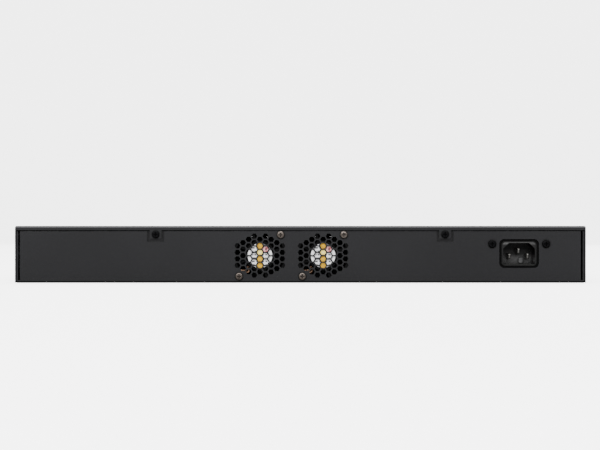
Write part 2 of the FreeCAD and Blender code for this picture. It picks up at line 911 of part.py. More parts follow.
def jack_springs(x, seat, rise_side):
    """Eight sloping spring contacts that stand on the wall opposite the latch."""
    springs = []
    for k in range(jack_contacts):
        middle = x + (k - (jack_contacts - 1) / 2) * jack_contact_pitch
        y0 = port_front + jack_contact_start
        y1 = y0 + jack_contact_run
        tip = seat + rise_side * jack_contact_rise
        points = [(y0, seat), (y0 + jack_contact_length, seat), (y1 + jack_contact_length, tip), (y1, tip)]
        springs.append(prism_x(points, middle - jack_contact_size / 2, middle + jack_contact_size / 2))
    return springs


def row_floors(base):
    """Floors of the lower and upper plug cavities in a block that stands at base."""
    middle = base + jack_block_height / 2
    return middle - jack_bar / 2 - jack_height, middle + jack_bar / 2


def jack_places(block_x):
    """X of the middle of each column in a jack block."""
    return [block_x + (k - (jack_columns - 1) / 2) * jack_pitch for k in range(jack_columns)]


def light_places(block_x):
    """Middles of the light pipes at the corners of each column, as (x, z)."""
    offset = jack_latch_width / 2 + light_gap + light_width / 2
    heights = (board_top + light_inset, board_top + jack_block_height - light_inset)
    return [(x + side * offset, z) for x in jack_places(block_x) for side in (-1, 1) for z in heights]


def light_bar(x, z, play, y0, y1):
    """A light pipe, or with no play the hole it sits in."""
    wide = light_width / 2 - play
    tall = light_height / 2 - play
    return block(x - wide, x + wide, y0, y1, z - tall, z + tall)


def jack_block(side_name, block_x):
    """Two stacked rows of network jacks in one moulded body with a steel shell."""
    y0 = port_front
    y1 = port_front + jack_block_depth
    half = jack_block_width / 2
    inner = half - jack_shell
    low = board_top
    high = board_top + jack_block_height
    body = block(block_x - inner, block_x + inner, y0, y1, low, high - jack_shell)
    cuts = []
    springs = []
    lower, upper = row_floors(low)
    for x in jack_places(block_x):
        cuts.append(jack_cavity(x, lower, -1))
        cuts.append(jack_cavity(x, upper, 1))
        springs += jack_springs(x, lower + jack_height, -1)
        springs += jack_springs(x, upper, 1)
    pipe_end = y1 - light_back
    cuts += [light_bar(x, z, 0.0, y0 - cut_past, pipe_end) for x, z in light_places(block_x)]
    save("jack_body_" + side_name, body.cut(cuts))
    save("jack_contacts_" + side_name, *springs)
    shell = block(block_x - half, block_x + half, y0 + jack_shell_step, y1 + jack_shell, low, high)
    hollow = block(block_x - inner, block_x + inner, y0, y1, low - cut_past, high - jack_shell)
    save("jack_shell_" + side_name, shell.cut(hollow))
    return [light_bar(x, z, touch, y0, pipe_end) for x, z in light_places(block_x)]


def console_jack():
    """Single network-style jack for the service console."""
    y1 = port_front + console_depth
    half = console_width / 2
    floor = board_top + jack_wall
    body = block(console_x - half, console_x + half, port_front, y1, board_top, board_top + console_height)
    save("console_jack_body", body.cut(jack_cavity(console_x, floor, 1)))
    save("console_jack_contacts", *jack_springs(console_x, floor, 1))


def optical_cage():
    """Ganged sheet cage for pluggable optical modules and the sockets at its back."""
    y0 = port_front
    y1 = port_front + cage_depth
    low = board_top + cage_lift
    floor = low + cage_sheet
    half_cage = cage_width / 2
    half = cage_inner_width / 2
    half_cut = half - cage_floor_margin
    ceiling = floor + cage_inner_height
    body = block(cage_x - half_cage, cage_x + half_cage, y0, y1, low, low + cage_outer_height())
    cuts = []
    sockets = []
    for k in range(cage_ports):
        x = cage_x + (k - (cage_ports - 1) / 2) * cage_pitch
        cuts.append(block(x - half, x + half, y0 - cut_past, y1 - cage_sheet, floor, ceiling))
        cut_front = y1 - cage_floor_cut
        cut_back = y1 - cage_floor_back
        cuts.append(block(x - half_cut, x + half_cut, cut_front, cut_back, low - cut_past, floor + touch))
        sockets.append(optical_socket(x, y1 - socket_set_back))
    foot_width, foot_length = cage_foot
    reach = half_cage - cage_foot_inset
    feet = [
        block_at(cage_x + side * reach, y0 + y, board_top, foot_width, foot_length, cage_lift)
        for side in (-1, 1)
        for y in cage_foot_places
    ]
    save("optical_cage", body.cut(cuts).fuse(feet))
    save("optical_sockets", *sockets)


def optical_socket(x, back):
    """The board socket a pluggable module ends in, with its slot."""
    face = back - socket_depth
    slot_width, slot_height, slot_rise = socket_slot
    low = board_top + slot_rise
    half = slot_width / 2
    slot = block(x - half, x + half, face - cut_past, face + socket_slot_depth, low, low + slot_height)
    body = block_at(x, (face + back) / 2, board_top, socket_width, socket_depth, socket_height)
    return body.cut(slot)


def cage_outer_height():
    return cage_inner_height + 2 * cage_sheet


def status_pipes():
    """Light pipes of the status lights: a round bar with a foot down to the board."""
    pipe_back = panel_back + status_reach
    foot_width, foot_depth = status_foot
    foot_y = pipe_back - foot_depth / 2
    pipes = []
    for k in range(status_lights):
        x = status_x + k * status_pitch
        pipe = rod_y(x, front + status_set_back, pipe_back, indicator_height, status_radius - touch)
        foot = block_at(x, foot_y, board_top, foot_width, foot_depth, indicator_height - board_top)
        pipes.append(pipe.fuse(foot).removeSplitter())
    return pipes


# ---------------------------------------------------------------- buttons
def push_button(switch_node, cap_node, x, height, cap_front, cap_radius, travel):
    """A board switch on its carrier and the cap that slides into the panel."""
    switch_front = panel_back + switch_set_back
    half = switch_size / 2
    carrier_height = height + half - board_top
    save(switch_node, block_at(x, switch_front + half, board_top, switch_size, switch_size, carrier_height))
    cap_back = switch_front - travel - button_end_gap
    cap = rod_y(x, cap_front, cap_back, height, cap_radius)
    cap = soften(cap, cap_radius * cap_rounding, lambda e, c: near(c.y, cap_front))
    flange_front = panel_back + button_end_gap
    flange = rod_y(x, flange_front, flange_front + cap_flange_depth, height, cap_radius + cap_flange_lap)
    save(cap_node, cap.fuse(flange).removeSplitter())


def buttons():
    mode_face = front - button_stand
    reset_face = skin_back + reset_set_back
    reset_radius = reset_hole_radius - button_play
    mode = (button_x, indicator_height, mode_face, button_radius, button_travel)
    reset = (reset_x, reset_height, reset_face, reset_radius, reset_travel)
    push_button("mode_switch", "mode_button", *mode)
    push_button("reset_switch", "reset_button", *reset)


# ---------------------------------------------------------------- board parts
def finned_sink(x, y, low, size, height, fins):
    """Square aluminium heatsink with fins along Y."""
    body = block_at(x, y, low, size, size, height)
    pitch = size / fins
    gap = pitch * sink_gap_share
    length = size + 2 * cut_past
    gaps = []
    for k in range(fins - 1):
        middle = x - size / 2 + (k + 1) * pitch
        gaps.append(block_at(middle, y, low + sink_base, gap, length, height))
    return body.cut(gaps)


def board_parts():
    """Chips with their heatsinks, memory, chokes, capacitors and the power header."""
    chip_x = (left_block_x + right_block_x) / 2 + chip_shift
    chip_y = behind_jacks(chip_jack_gap)
    save("switch_chip", block_at(chip_x, chip_y, board_top, chip_size, chip_size, chip_height))
    chip_sink = finned_sink(chip_x, chip_y, board_top + chip_height, *chip_sink_size)
    save("switch_heatsink", chip_sink)
    phys = []
    sinks = []
    y = behind_jacks(port_chip_jack_gap)
    for x in (left_block_x, (left_block_x + right_block_x) / 2, right_block_x):
        phys.append(block_at(x, y, board_top, port_chip_size, port_chip_size, port_chip_height))
        sinks.append(finned_sink(x, y, board_top + port_chip_height, *port_sink_size))
    save("port_chips", *phys)
    save("port_heatsinks", *sinks)
    pitch_x, pitch_y = memory_pitch
    memory_x = chip_x + memory_shift
    places = [(memory_x + a * pitch_x, chip_y + b * pitch_y) for a in (0, 1) for b in (0, 1)]
    save("memory_chips", *[block_at(x, y, board_top, *memory_size) for x, y in places])
    chokes_and_capacitors()
    power_header()


def chokes_and_capacitors():
    """The power stage's row of chokes and round capacitors beside the fans."""
    high_x = pan_inside - board_margin
    choke_y = board_back() - choke_inset
    can_y = board_back() - can_inset
    can_top = board_top + can_height
    chokes = []
    cans = []
    for k in range(choke_count):
        x = high_x - choke_side_inset - choke_pitch * k
        body = block_at(x, choke_y, board_top, choke_size, choke_size, choke_height)
        chokes.append(soften(body, choke_corner, lambda e, c: runs_along(e, V(0, 0, 1))))
        can = rod_z(x, can_y, board_top, can_top, can_radius)
        cans.append(soften(can, can_rounding, lambda e, c: near(c.z, can_top)))
    save("board_chokes", *chokes)
    save("board_capacitors", *cans)


def power_header_x():
    return supply_high_x + board_margin + header_inset


def power_header_y():
    return supply_front + header_set_back


def power_lead_rows():
    """Y of each lead in the low-voltage supply cable."""
    return [power_header_y() + (k - (power_leads - 1) / 2) * power_lead_pitch for k in range(power_leads)]


def power_header():
    x = power_header_x()
    body = block_at(x, power_header_y(), board_top, *header_size)
    outside = x - header_size[0] / 2 - cut_past
    height = board_top + power_lead_rise
    sockets = [rod_x(outside, x, y, height, cable_radius + touch) for y in power_lead_rows()]
    save("power_header", body.cut(sockets))


# ---------------------------------------------------------------- power supply
def power_supply():
    """Open-frame supply: channel, cover, board and its large parts."""
    top = sheet + supply_height
    floor = 2 * sheet
    inner_low = supply_low_x + sheet
    inner_high = supply_high_x - sheet
    channel = block(supply_low_x, supply_high_x, supply_front, supply_rear, sheet, top)
    open_front = supply_front - cut_past
    open_rear = supply_rear + cut_past
    hollow = block(inner_low, inner_high, open_front, open_rear, floor, top + cut_past)
    studs = []
    for x, y in supply_stud_places():
        post = rod_z(x, y, floor, board_low, stud_radius)
        studs.append(post.cut(rod_z(x, y, floor, board_low, m3_radius)))
    outlet_low = power_header_y() - supply_outlet / 2
    outlet = block(
        inner_high - cut_past,
        supply_high_x + cut_past,
        outlet_low,
        outlet_low + supply_outlet,
        board_top + supply_outlet_lift,
        top + cut_past,
    )
    save("supply_channel", channel.cut(hollow).fuse(studs).cut(outlet))
    supply_cover(top)
    side_gap = sheet + supply_board_gap
    end_gap = supply_board_gap
    board = block(
        supply_low_x + side_gap,
        supply_high_x - side_gap,
        supply_front + end_gap,
        supply_rear - end_gap,
        board_low,
        board_top,
    )
    save("supply_board", board.cut(board_holes(supply_stud_places())))
    supply_parts()


def supply_cover(top):
    """Vented lid whose lips hang over the channel's sides."""
    low_x = supply_low_x - supply_lid_gap
    high_x = supply_high_x + supply_lid_gap
    lip_floor = top - supply_lip
    lid = block(low_x - sheet, high_x + sheet, supply_front, supply_rear, top, top + sheet)
    lips = [
        block(low_x - sheet, low_x, supply_front, supply_rear, lip_floor, top),
        block(high_x, high_x + sheet, supply_front, supply_rear, lip_floor, top),
    ]
    slot_low_x = supply_low_x + supply_slot_inset
    slot_high_x = supply_high_x - supply_slot_inset
    slot_low = top - cut_past
    slot_high = top + sheet + cut_past
    slots = []
    for k in range(supply_slots):
        y = supply_front + supply_slot_inset + k * supply_slot_pitch
        slots.append(block(slot_low_x, slot_high_x, y, y + supply_slot_width, slot_low, slot_high))
    save("supply_cover", lid.fuse(lips).removeSplitter().cut(slots))


def supply_parts():
    """Transformer, round capacitors, finned heatsinks and the input choke."""
    middle_x = (supply_low_x + supply_high_x) / 2
    core_x, core_y = transformer_place
    x = middle_x + core_x
    y = supply_front + core_y
    reach = (transformer_size[1] + transformer_window[1]) / 2 - transformer_window_depth
    low = board_top + transformer_foot
    windows = [block_at(x, y + side * reach, low, *transformer_window) for side in (-1, 1)]
    save("supply_transformer", block_at(x, y, board_top, *transformer_size).cut(windows))
    cans = []
    for x, y, radius, height in supply_can_table:
        top = board_top + height
        can = rod_z(middle_x + x, supply_front + y, board_top, top, radius)
        cans.append(soften(can, supply_can_rounding, lambda e, c, top=top: near(c.z, top)))
    save("supply_capacitors", *cans)
    sinks = []
    web_x = supply_high_x - supply_sink_inset
    fin_x = web_x - supply_sink_fin_shift
    for set_back, length in supply_sink_table:
        y = supply_front + set_back
        web = block_at(web_x, y, board_top, supply_sink_web, length, supply_sink_height)
        fins = []
        for k in range(supply_sink_fins):
            low = board_top + supply_sink_lift + supply_sink_fin_pitch * k
            fins.append(block_at(fin_x, y, low, supply_sink_fin, length, supply_sink_fin_sheet))
        sinks.append(web.fuse(fins).removeSplitter())
    save("supply_heatsinks", *sinks)
    choke_x, choke_y = supply_choke_place
    middle = V(middle_x + choke_x, supply_rear - choke_y, board_top + supply_choke_wire)
    save("supply_choke", Part.makeTorus(supply_choke_radius, supply_choke_wire, middle, V(0, 0, 1)))


# ---------------------------------------------------------------- mains inlet
def cavity_outline():
    """The plug cavity's outline with its two upper corners chamfered, as (x, z)."""
    half = inlet_rim_width / 2 - inlet_wall
    tall = inlet_rim_height / 2 - inlet_wall
    low = inlet_height - tall
    high = inlet_height + tall
    flat = half - inlet_chamfer
    steep = high - inlet_chamfer
    right_side = [(inlet_x + half, low), (inlet_x + half, steep), (inlet_x + flat, high)]
    left_side = [(inlet_x - flat, high), (inlet_x - half, steep), (inlet_x - half, low)]
    return right_side + left_side


def inlet_pin_places():
    low = inlet_height - inlet_earth_rise / 2
    return [
        (inlet_x - inlet_pin_spacing / 2, low),
        (inlet_x + inlet_pin_spacing / 2, low),
        (inlet_x, low + inlet_earth_rise),
    ]


def inlet_block(grow, radius, y0, y1):
    """A rounded block along Y round the inlet's middle, larger than the rim by grow."""
    width = inlet_rim_width + 2 * grow
    height = inlet_rim_height + 2 * grow
    return rounded_block_y(inlet_x, inlet_height, width, height, y0, y1, radius)


def mains_inlet():
    """Moulded inlet with its pins, the bracket behind the wall and two screws."""
    bracket_front = rear_inside - bracket_sheet
    rim = inlet_block(0.0, inlet_rim_radius, inlet_back, inlet_face)
    flange = inlet_block(inlet_flange_lap, inlet_rim_radius, bracket_front - inlet_flange, bracket_front)
    body = rim.fuse(flange).removeSplitter()
    pin_front = inlet_face - inlet_pin_set_back
    pin_back = inlet_back - inlet_pin_tail
    wide = inlet_pin_width / 2
    tall = inlet_pin_height / 2
    tab_wide = inlet_tab[0] / 2
    tab_tall = inlet_tab[1] / 2
    pins = []
    cuts = [prism_y(cavity_outline(), inlet_face - inlet_cavity_depth, inlet_face + cut_past)]
    for x, z in inlet_pin_places():
        blade = block(x - wide, x + wide, pin_back, pin_front, z - tall, z + tall)
        cuts.append(blade)
        tip = soften(blade, inlet_pin_rounding, lambda e, c: near(c.y, pin_front))
        tab = block(x - tab_wide, x + tab_wide, tab_back(), pin_back, z - tab_tall, z + tab_tall)
        pins.append(tip.fuse(tab).removeSplitter())
    save("inlet_body", body.cut(cuts))
    save("inlet_pins", *pins)
    inlet_fixing(bracket_front)


def tab_back():
    """Y of the far end of the pins' solder tabs."""
    return inlet_back - inlet_pin_tail - inlet_tab_length


def inlet_fixing(bracket_front):
    """The bracket behind the wall and the two screws that hold it."""
    half = inlet_screw_spacing / 2 + bracket_margin
    tall = inlet_rim_height / 2 + bracket_margin_top
    plate = rounded_block_y(
        inlet_x, inlet_height, 2 * half, 2 * tall, bracket_front, rear_inside, bracket_corner
    )
    before = bracket_front - cut_past
    cuts = [inlet_block(inlet_fit, inlet_rim_radius + inlet_fit, before, rear)]
    cuts += [rod_y(x, before, rear, z, inlet_screw_radius) for x, z in inlet_screw_places()]
    save("inlet_bracket", plate.cut(cuts))
    screws = []
    for x, z in inlet_screw_places():
        place = V(x, rear, z)
        screws.append(pan_screw(place, V(0, 1, 0), inlet_screw_head, inlet_screw_radius - touch, m3_length))
    save("inlet_screws", *screws)


def inner_cables():
    """Mains leads and low-voltage cable, each held at both ends."""
    wires = []
    for k, (x, z) in enumerate(inlet_pin_places()):
        end_x = inlet_x + (k - 1) * mains_lead_pitch
        end_y = supply_rear - mains_lead_reach
        height = board_top + mains_lead_rise
        route = [(x, tab_back(), z), (x, tab_back() - mains_lead_run, z)]
        route += [(end_x, supply_rear + mains_lead_gap, height)]
        route += [(end_x, end_y, height), (end_x, end_y, board_top)]
        wires.append(cable(route, mains_lead_radius, cable_bend))
    save("inlet_leads", *wires)
    strands = []
    socket_x = power_header_x() - header_size[0] / 2 + power_lead_engage
    start_x = supply_high_x - power_lead_inset
    z = board_top + power_lead_rise
    for y in power_lead_rows():
        route = [(start_x, y, board_top), (start_x, y, z), (socket_x, y, z)]
        strands.append(cable(route, cable_radius, cable_bend))
    save("supply_cable", *strands)


# ---------------------------------------------------------------- fans
def fan_blade(x, turn):
    """One twisted, cambered blade from inside the hub wall to the bore."""
    radii = (fan_hub_radius - fan_root_lap, fan_blade_middle, fan_bore_radius - fan_tip_gap)
    sections = []
    for radius, (angle, chord) in zip(radii, fan_blade_table):
        sections.append(blade_section(radius, math.radians(angle), chord))
    blade = Part.makeLoft(sections, True, False)
    blade.rotate(V(0, 0, 0), V(0, 1, 0), turn)
    blade.translate(V(x, fan_front + fan_blade_set_back, fan_height))
    return blade


def blade_section(radius, angle, chord):
    """Closed cambered outline at one radius, standing on the +Z radius line."""
    along = V(math.cos(angle), math.sin(angle), 0)
    across = V(-math.sin(angle), math.cos(angle), 0)
    centre = V(0, 0, radius)
    half_thick = fan_blade_thickness / 2
    nose = centre - along * (chord / 2)
    tail = centre + along * (chord / 2)
    upper = Part.Arc(nose, centre + across * (fan_blade_camber + half_thick), tail).toShape()
    lower_nose = nose - across * half_thick
    lower_tail = tail - across * half_thick
    lower_middle = centre + across * (fan_blade_camber - fan_blade_thickness)
    lower = Part.Arc(lower_tail, lower_middle, lower_nose).toShape()
    tail_end = Part.LineSegment(tail, lower_tail).toShape()
    nose_end = Part.LineSegment(lower_nose, nose).toShape()
    return Part.Wire([upper, tail_end, lower, nose_end])


def fan_strut(x, turn):
    """One strut from the fan's middle to the frame, at the rear."""
    half = fan_strut_size / 2
    y1 = rear_inside - fan_strut_inset
    reach = x + fan_bore_radius + fan_strut_lap
    strut = block(x, reach, y1 - fan_strut_depth, y1, fan_height - half, fan_height + half)
    strut.rotate(V(x, 0, fan_height), V(0, 1, 0), turn)
    return strut


def fan(number, x):
    """One axial fan's frame with struts, hub and bearing tube, then its rotor."""
    y0 = fan_front
    y1 = rear_inside
    z = fan_height
    half = fan_size / 2
    wide = half + cut_past
    hub_back = y1 - fan_hub_inset
    hub_front = y1 - fan_hub_inset - fan_hub_plate
    frame = rounded_block_y(x, z, fan_size, fan_size, y0, y1, fan_corner)
    frame = frame.cut(rod_y(x, y0 - cut_past, y1 + cut_past, z, fan_bore_radius))
    waist = block(x - wide, x + wide, y0 + fan_flange, y1 - fan_flange, z - wide, z + wide)
    keep = rod_y(x, y0, y1, z, fan_bore_radius + fan_barrel_wall)
    frame = frame.cut(waist.cut(keep))
    hub = rod_y(x, hub_front, hub_back, z, fan_hub_radius)
    tube = rod_y(x, y0 + fan_bearing_front, hub_front, z, fan_tube_radius)
    struts = [fan_strut(x, fan_strut_turn + k * 90.0) for k in range(4)]
    frame = frame.fuse([hub, tube] + struts).removeSplitter()
    holes = [rod_y(x, y0 + fan_bore_front, y1 - fan_bore_back, z, fan_bearing_radius)]
    reach = fan_hole_spacing / 2
    for a in (-1, 1):
        for b in (-1, 1):
            hole_x = x + a * reach
            holes.append(rod_y(hole_x, y0 - cut_past, y1 + cut_past, z + b * reach, fan_screw_radius))
    lead_z = z - fan_lead_drop
    notch_front = y1 - fan_notch_depth
    notch_top = lead_z + fan_lead_pitch + fan_notch_play
    holes.append(block(x, x + wide, notch_front, y1 + cut_past, lead_z - fan_notch_play, notch_top))
    frame = frame.cut(holes)
    hub_cap = rod_y(x, hub_back - fan_hub_cap, hub_back, z, fan_hub_radius)
    save("fan_frame_%d" % number, frame.fuse(hub_cap).removeSplitter())
    fan_rotor(number, x)


def fan_rotor(number, x):
    """The cup with its blades and shaft boss, and the shaft."""
    z = fan_height
    cup_front = fan_front + fan_cup_inset
    cup_back = rear_inside - fan_cup_clear
    floor = cup_front + fan_cup_wall
    seat = cup_front + fan_shaft_seat
    cup = rod_y(x, cup_front, cup_back, z, fan_hub_radius)
    cup = soften(cup, fan_cup_rounding, lambda e, c: near(c.y, cup_front))
    cup = cup.cut(rod_y(x, floor, cup_back + cut_past, z, fan_hub_radius - fan_cup_wall))
    bore = rod_y(x, fan_front, rear_inside, z, fan_bore_radius - fan_tip_gap)
    inside = rod_y(x, fan_front, rear_inside, z, fan_hub_radius - fan_cup_wall / 2)
    blades = [fan_blade(x, 360.0 * k / fan_blades).common(bore).cut(inside) for k in range(fan_blades)]
    boss = rod_y(x, floor, floor + fan_boss_length, z, fan_boss_radius)
    rotor = cup.fuse(blades + [boss]).removeSplitter()
    save("fan_rotor_%d" % number, rotor.cut(rod_y(x, seat, cup_back, z, fan_shaft_radius)))
    save("fan_shaft_%d" % number, rod_y(x, seat, rear_inside - fan_shaft_end, z, fan_shaft_radius))


def fan_stator(x):
    """Slotted stator core on the bearing tube."""
    z = fan_height
    outer = fan_hub_radius - fan_cup_wall - fan_stator_gap
    half = fan_stator_slot / 2
    core = rod_y(x, fan_front + fan_stator_front, rear_inside - fan_stator_back, z, outer)
    core = core.cut(rod_y(x, fan_front, rear_inside, z, fan_tube_radius))
    for k in range(4):
        slot = block(x + fan_slot_root, x + fan_hub_radius, fan_front, rear_inside, z - half, z + half)
        slot.rotate(V(x, 0, z), V(0, 1, 0), 45.0 + 90.0 * k)
        core = core.cut(slot)
    return core


def fan_details():
    """Stators, bearings, hub stickers, leads and screws of both fans."""
    z = fan_height
    stators = []
    bearings = []
    labels = []
    leads = []
    screws = []
    label_front = rear_inside - fan_hub_inset
    race_hole = fan_shaft_radius + fan_shaft_play
    rear_race = rear_inside - fan_hub_inset - fan_hub_plate - fan_bearing_back
    shank_radius = fan_screw_radius - touch
    for x in fan_places:
        stators.append(fan_stator(x))
        for y in (fan_front + fan_bearing_front, rear_race - fan_bearing_width):
            race = rod_y(x, y, y + fan_bearing_width, z, fan_bearing_radius)
            bearings.append(race.cut(rod_y(x, y, y + fan_bearing_width, z, race_hole)))
        labels.append(rod_y(x, label_front, label_front + fan_label_sheet, z, fan_label_radius))
        leads += fan_leads(x, z)
        for a, b in fan_screw_places(x):
            place = V(a, rear, b)
            screws.append(pan_screw(place, V(0, 1, 0), fan_screw_head, shank_radius, fan_screw_length))
    save("fan_stators", *stators)
    save("fan_bearings", *bearings)
    save("fan_labels", *labels)
    save("fan_leads", *leads)
    save("fan_screws", *screws)


def fan_leads(x, z):
    """Two leads per fan: down from the hub, out of the frame's side and forward to a header."""
    y = rear_inside - fan_lead_inset
    header_y = board_back() - fan_header_inset + fan_header_size[1] / 2
    plug_z = board_top + fan_lead_rise
    leads = []
    for k, (start, corner_x) in enumerate(fan_lead_table):
        lead_z = z - fan_lead_drop + fan_lead_pitch * k
        side_x = x + fan_size / 2 + fan_lead_clear + fan_lead_pitch * k
        route = [(x + start[0], y, z + start[1]), (x + corner_x, y, lead_z), (side_x, y, lead_z)]
        route += [(side_x, fan_front - fan_lead_level, lead_z)]
        route += [(side_x, header_y + fan_lead_straight, plug_z), (side_x, header_y, plug_z)]
        leads.append(cable(route, fan_lead_radius, fan_lead_bend))
    return leads


def fan_headers():
    header_y = board_back() - fan_header_inset
    places = [x + fan_size / 2 + fan_header_shift for x in fan_places]
    save("fan_headers", *[block_at(x, header_y, board_top, *fan_header_size) for x in places])


# ---------------------------------------------------------------- build
chassis_base()
top_cover()
cover_screws()
front_panel()
board_and_screws()
all_pipes = jack_block("left", left_block_x) + jack_block("right", right_block_x) + status_pipes()
save("light_pipes", *all_pipes)
console_jack()
optical_cage()
buttons()
board_parts()
power_supply()
mains_inlet()
inner_cables()
for fan_number, fan_x in enumerate(fan_places, start=1):
    fan(fan_number, fan_x)
fan_details()
fan_headers()
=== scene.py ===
import math

import bmesh
import bpy
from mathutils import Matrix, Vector


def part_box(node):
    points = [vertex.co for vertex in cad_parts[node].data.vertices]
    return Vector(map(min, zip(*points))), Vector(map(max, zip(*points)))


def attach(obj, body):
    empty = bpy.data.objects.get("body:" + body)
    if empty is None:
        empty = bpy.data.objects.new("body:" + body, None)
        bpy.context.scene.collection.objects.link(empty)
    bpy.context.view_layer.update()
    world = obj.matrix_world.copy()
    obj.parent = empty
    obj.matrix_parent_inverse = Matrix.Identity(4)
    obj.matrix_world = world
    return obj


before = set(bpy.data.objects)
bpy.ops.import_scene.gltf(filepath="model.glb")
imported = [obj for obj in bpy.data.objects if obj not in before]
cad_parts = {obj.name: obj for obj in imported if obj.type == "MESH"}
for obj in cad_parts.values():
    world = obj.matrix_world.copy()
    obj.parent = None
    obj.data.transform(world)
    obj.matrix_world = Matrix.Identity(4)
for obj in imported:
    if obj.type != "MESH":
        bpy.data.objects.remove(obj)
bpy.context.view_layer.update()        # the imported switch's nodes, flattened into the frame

MM = 0.001


# ------------------------------------------------------------------ places read from the frame
def middle(node):
    """Centre of a node's box."""
    low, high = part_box(node)
    return (Vector(low) + Vector(high)) / 2


FAN_CENTRES = [middle("fan_frame_1"), middle("fan_frame_2")]
LABEL_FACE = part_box("fan_labels")[1][1]
FRONT_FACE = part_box("front_skin")[0][1]
REAR_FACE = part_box("top_cover")[1][1]
BOARD_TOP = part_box("main_board")[1][2]
INLET_CENTRE = middle("inlet_body")
INLET_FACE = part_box("inlet_body")[1][1]

# ------------------------------------------------------------------ sizes of printed and added details
RIM_HALF, RIM_RADIUS = (13.5 * MM, 9.5 * MM), 3.0 * MM     # the inlet's rim
WELL_DEPTH = 16.5 * MM
KEY_HALF_WIDTH, KEY_HEIGHT = 1.5 * MM, 2.5 * MM            # raised block in the inlet's well
KEY_ASIDE, KEY_DROP = 3.0 * MM, 1.2 * MM
KEY_FOOT, KEY_TOP = 6.1 * MM, 2.4 * MM                     # below that dropped height
TAPE_WIDTH, TAPE_LENGTH, TAPE_THICK = 4.3 * MM, 20.6 * MM, 0.08 * MM
PRINT_PITCH, PRINT_HALF_WIDTH = 0.0026, 0.0070             # rows on the hub stickers
RED_ASIDE, RED_RISE = 0.0047, 0.0050
GASKET_WIDTH, GASKET_SET_BACK = 1.6 * MM, 1.05 * MM
GASKET_GAP = 0.03 * MM
JACK_COLUMNS = 6

# ------------------------------------------------------------------ studio levels
PAPER_GLOW = 4.5                # of the studio paper, to the camera only
SKY_LIGHT, SKY_GLOW = 0.7, 5.0  # light from all round, and what the camera sees on top of it
FLOOR_DROP = 0.2 * MM           # keeps the paper clear of the underside


# ------------------------------------------------------------------ node helpers
def add(tree, kind, **settings):
    """A shader node with its properties set."""
    node = tree.nodes.new(kind)
    for name, value in settings.items():
        setattr(node, name, value)
    return node


def join(tree, source, target):
    tree.links.new(source, target)


def feed(tree, value, socket):
    """Link an output, or set a plain value, on an input socket."""
    if isinstance(value, bpy.types.NodeSocket):
        join(tree, value, socket)
    else:
        socket.default_value = value


def maths(tree, operation, a, b=0.0, clamp=False):
    node = add(tree, "ShaderNodeMath", operation=operation, use_clamp=clamp)
    feed(tree, a, node.inputs[0])
    feed(tree, b, node.inputs[1])
    return node.outputs[0]


def ramp(tree, value, low, high, out_low=0.0, out_high=1.0):
    """Map a value from low..high to out_low..out_high, clamped and smooth."""
    node = add(tree, "ShaderNodeMapRange", interpolation_type="SMOOTHSTEP")
    feed(tree, value, node.inputs["Value"])
    node.inputs["From Min"].default_value = low
    node.inputs["From Max"].default_value = high
    node.inputs["To Min"].default_value = out_low
    node.inputs["To Max"].default_value = out_high
    return node.outputs["Result"]


def blend_colour(tree, factor, a, b, how="MIX"):
    node = add(tree, "ShaderNodeMix", data_type="RGBA", blend_type=how)
    feed(tree, factor, node.inputs[0])
    feed(tree, a, node.inputs[6])
    feed(tree, b, node.inputs[7])
    return node.outputs[2]


def blend_scalar(tree, factor, a, b):
    """a where the factor is 0 and b where it is 1."""
    node = add(tree, "ShaderNodeMix", data_type="FLOAT")
    feed(tree, factor, node.inputs[0])
    feed(tree, a, node.inputs[2])
    feed(tree, b, node.inputs[3])
    return node.outputs[0]


def grey(value):
    return (value, value, value, 1.0)


def noise(tree, vector, scale, detail=2.0, roughness=0.5):
    node = add(tree, "ShaderNodeTexNoise")
    feed(tree, vector, node.inputs["Vector"])
    feed(tree, scale, node.inputs["Scale"])
    node.inputs["Detail"].default_value = detail
    node.inputs["Roughness"].default_value = roughness
    return node.outputs["Fac"]


def cells(tree, vector, scale, feature="F1"):
    node = add(tree, "ShaderNodeTexVoronoi", feature=feature)
    feed(tree, vector, node.inputs["Vector"])
    feed(tree, scale, node.inputs["Scale"])
    return node


def stretched(tree, vector, factors):
    """The coordinates with each axis multiplied by its own factor."""
    node = add(tree, "ShaderNodeVectorMath", operation="MULTIPLY")
    join(tree, vector, node.inputs[0])
    node.inputs[1].default_value = factors
    return node.outputs[0]


def distance(tree, a, b):
    """Length of the flat vector (a, b)."""
    squares = maths(tree, "ADD", maths(tree, "MULTIPLY", a, a), maths(tree, "MULTIPLY", b, b))
    return maths(tree, "SQRT", squares)


def split(tree, vector):
    node = add(tree, "ShaderNodeSeparateXYZ")
    join(tree, vector, node.inputs[0])
    return node.outputs


def place_of(tree):
    """Coordinates fixed to the piece, in metres."""
    return add(tree, "ShaderNodeTexCoord").outputs["Object"]


SOCKETS = {"value": "NodeSocketFloat", "colour": "NodeSocketColor", "vector": "NodeSocketVector"}


def effect(name, inputs, outputs):
    """A new shader node group with named inputs (name, kind, default) and outputs (name, kind)."""
    tree = bpy.data.node_groups.new(name, "ShaderNodeTree")
    for label, kind, default in inputs:
        socket = tree.interface.new_socket(name=label, in_out="INPUT", socket_type=SOCKETS[kind])
        socket.default_value = default
    for label, kind in outputs:
        tree.interface.new_socket(name=label, in_out="OUTPUT", socket_type=SOCKETS[kind])
    return tree, add(tree, "NodeGroupInput").outputs, add(tree, "NodeGroupOutput").inputs


def use(tree, group, **values):
    """Place an effect in a tree; underscores in value names stand for spaces."""
    node = add(tree, "ShaderNodeGroup", node_tree=group)
    for label, value in values.items():
        feed(tree, value, node.inputs[label.replace("_", " ")])
    return node.outputs


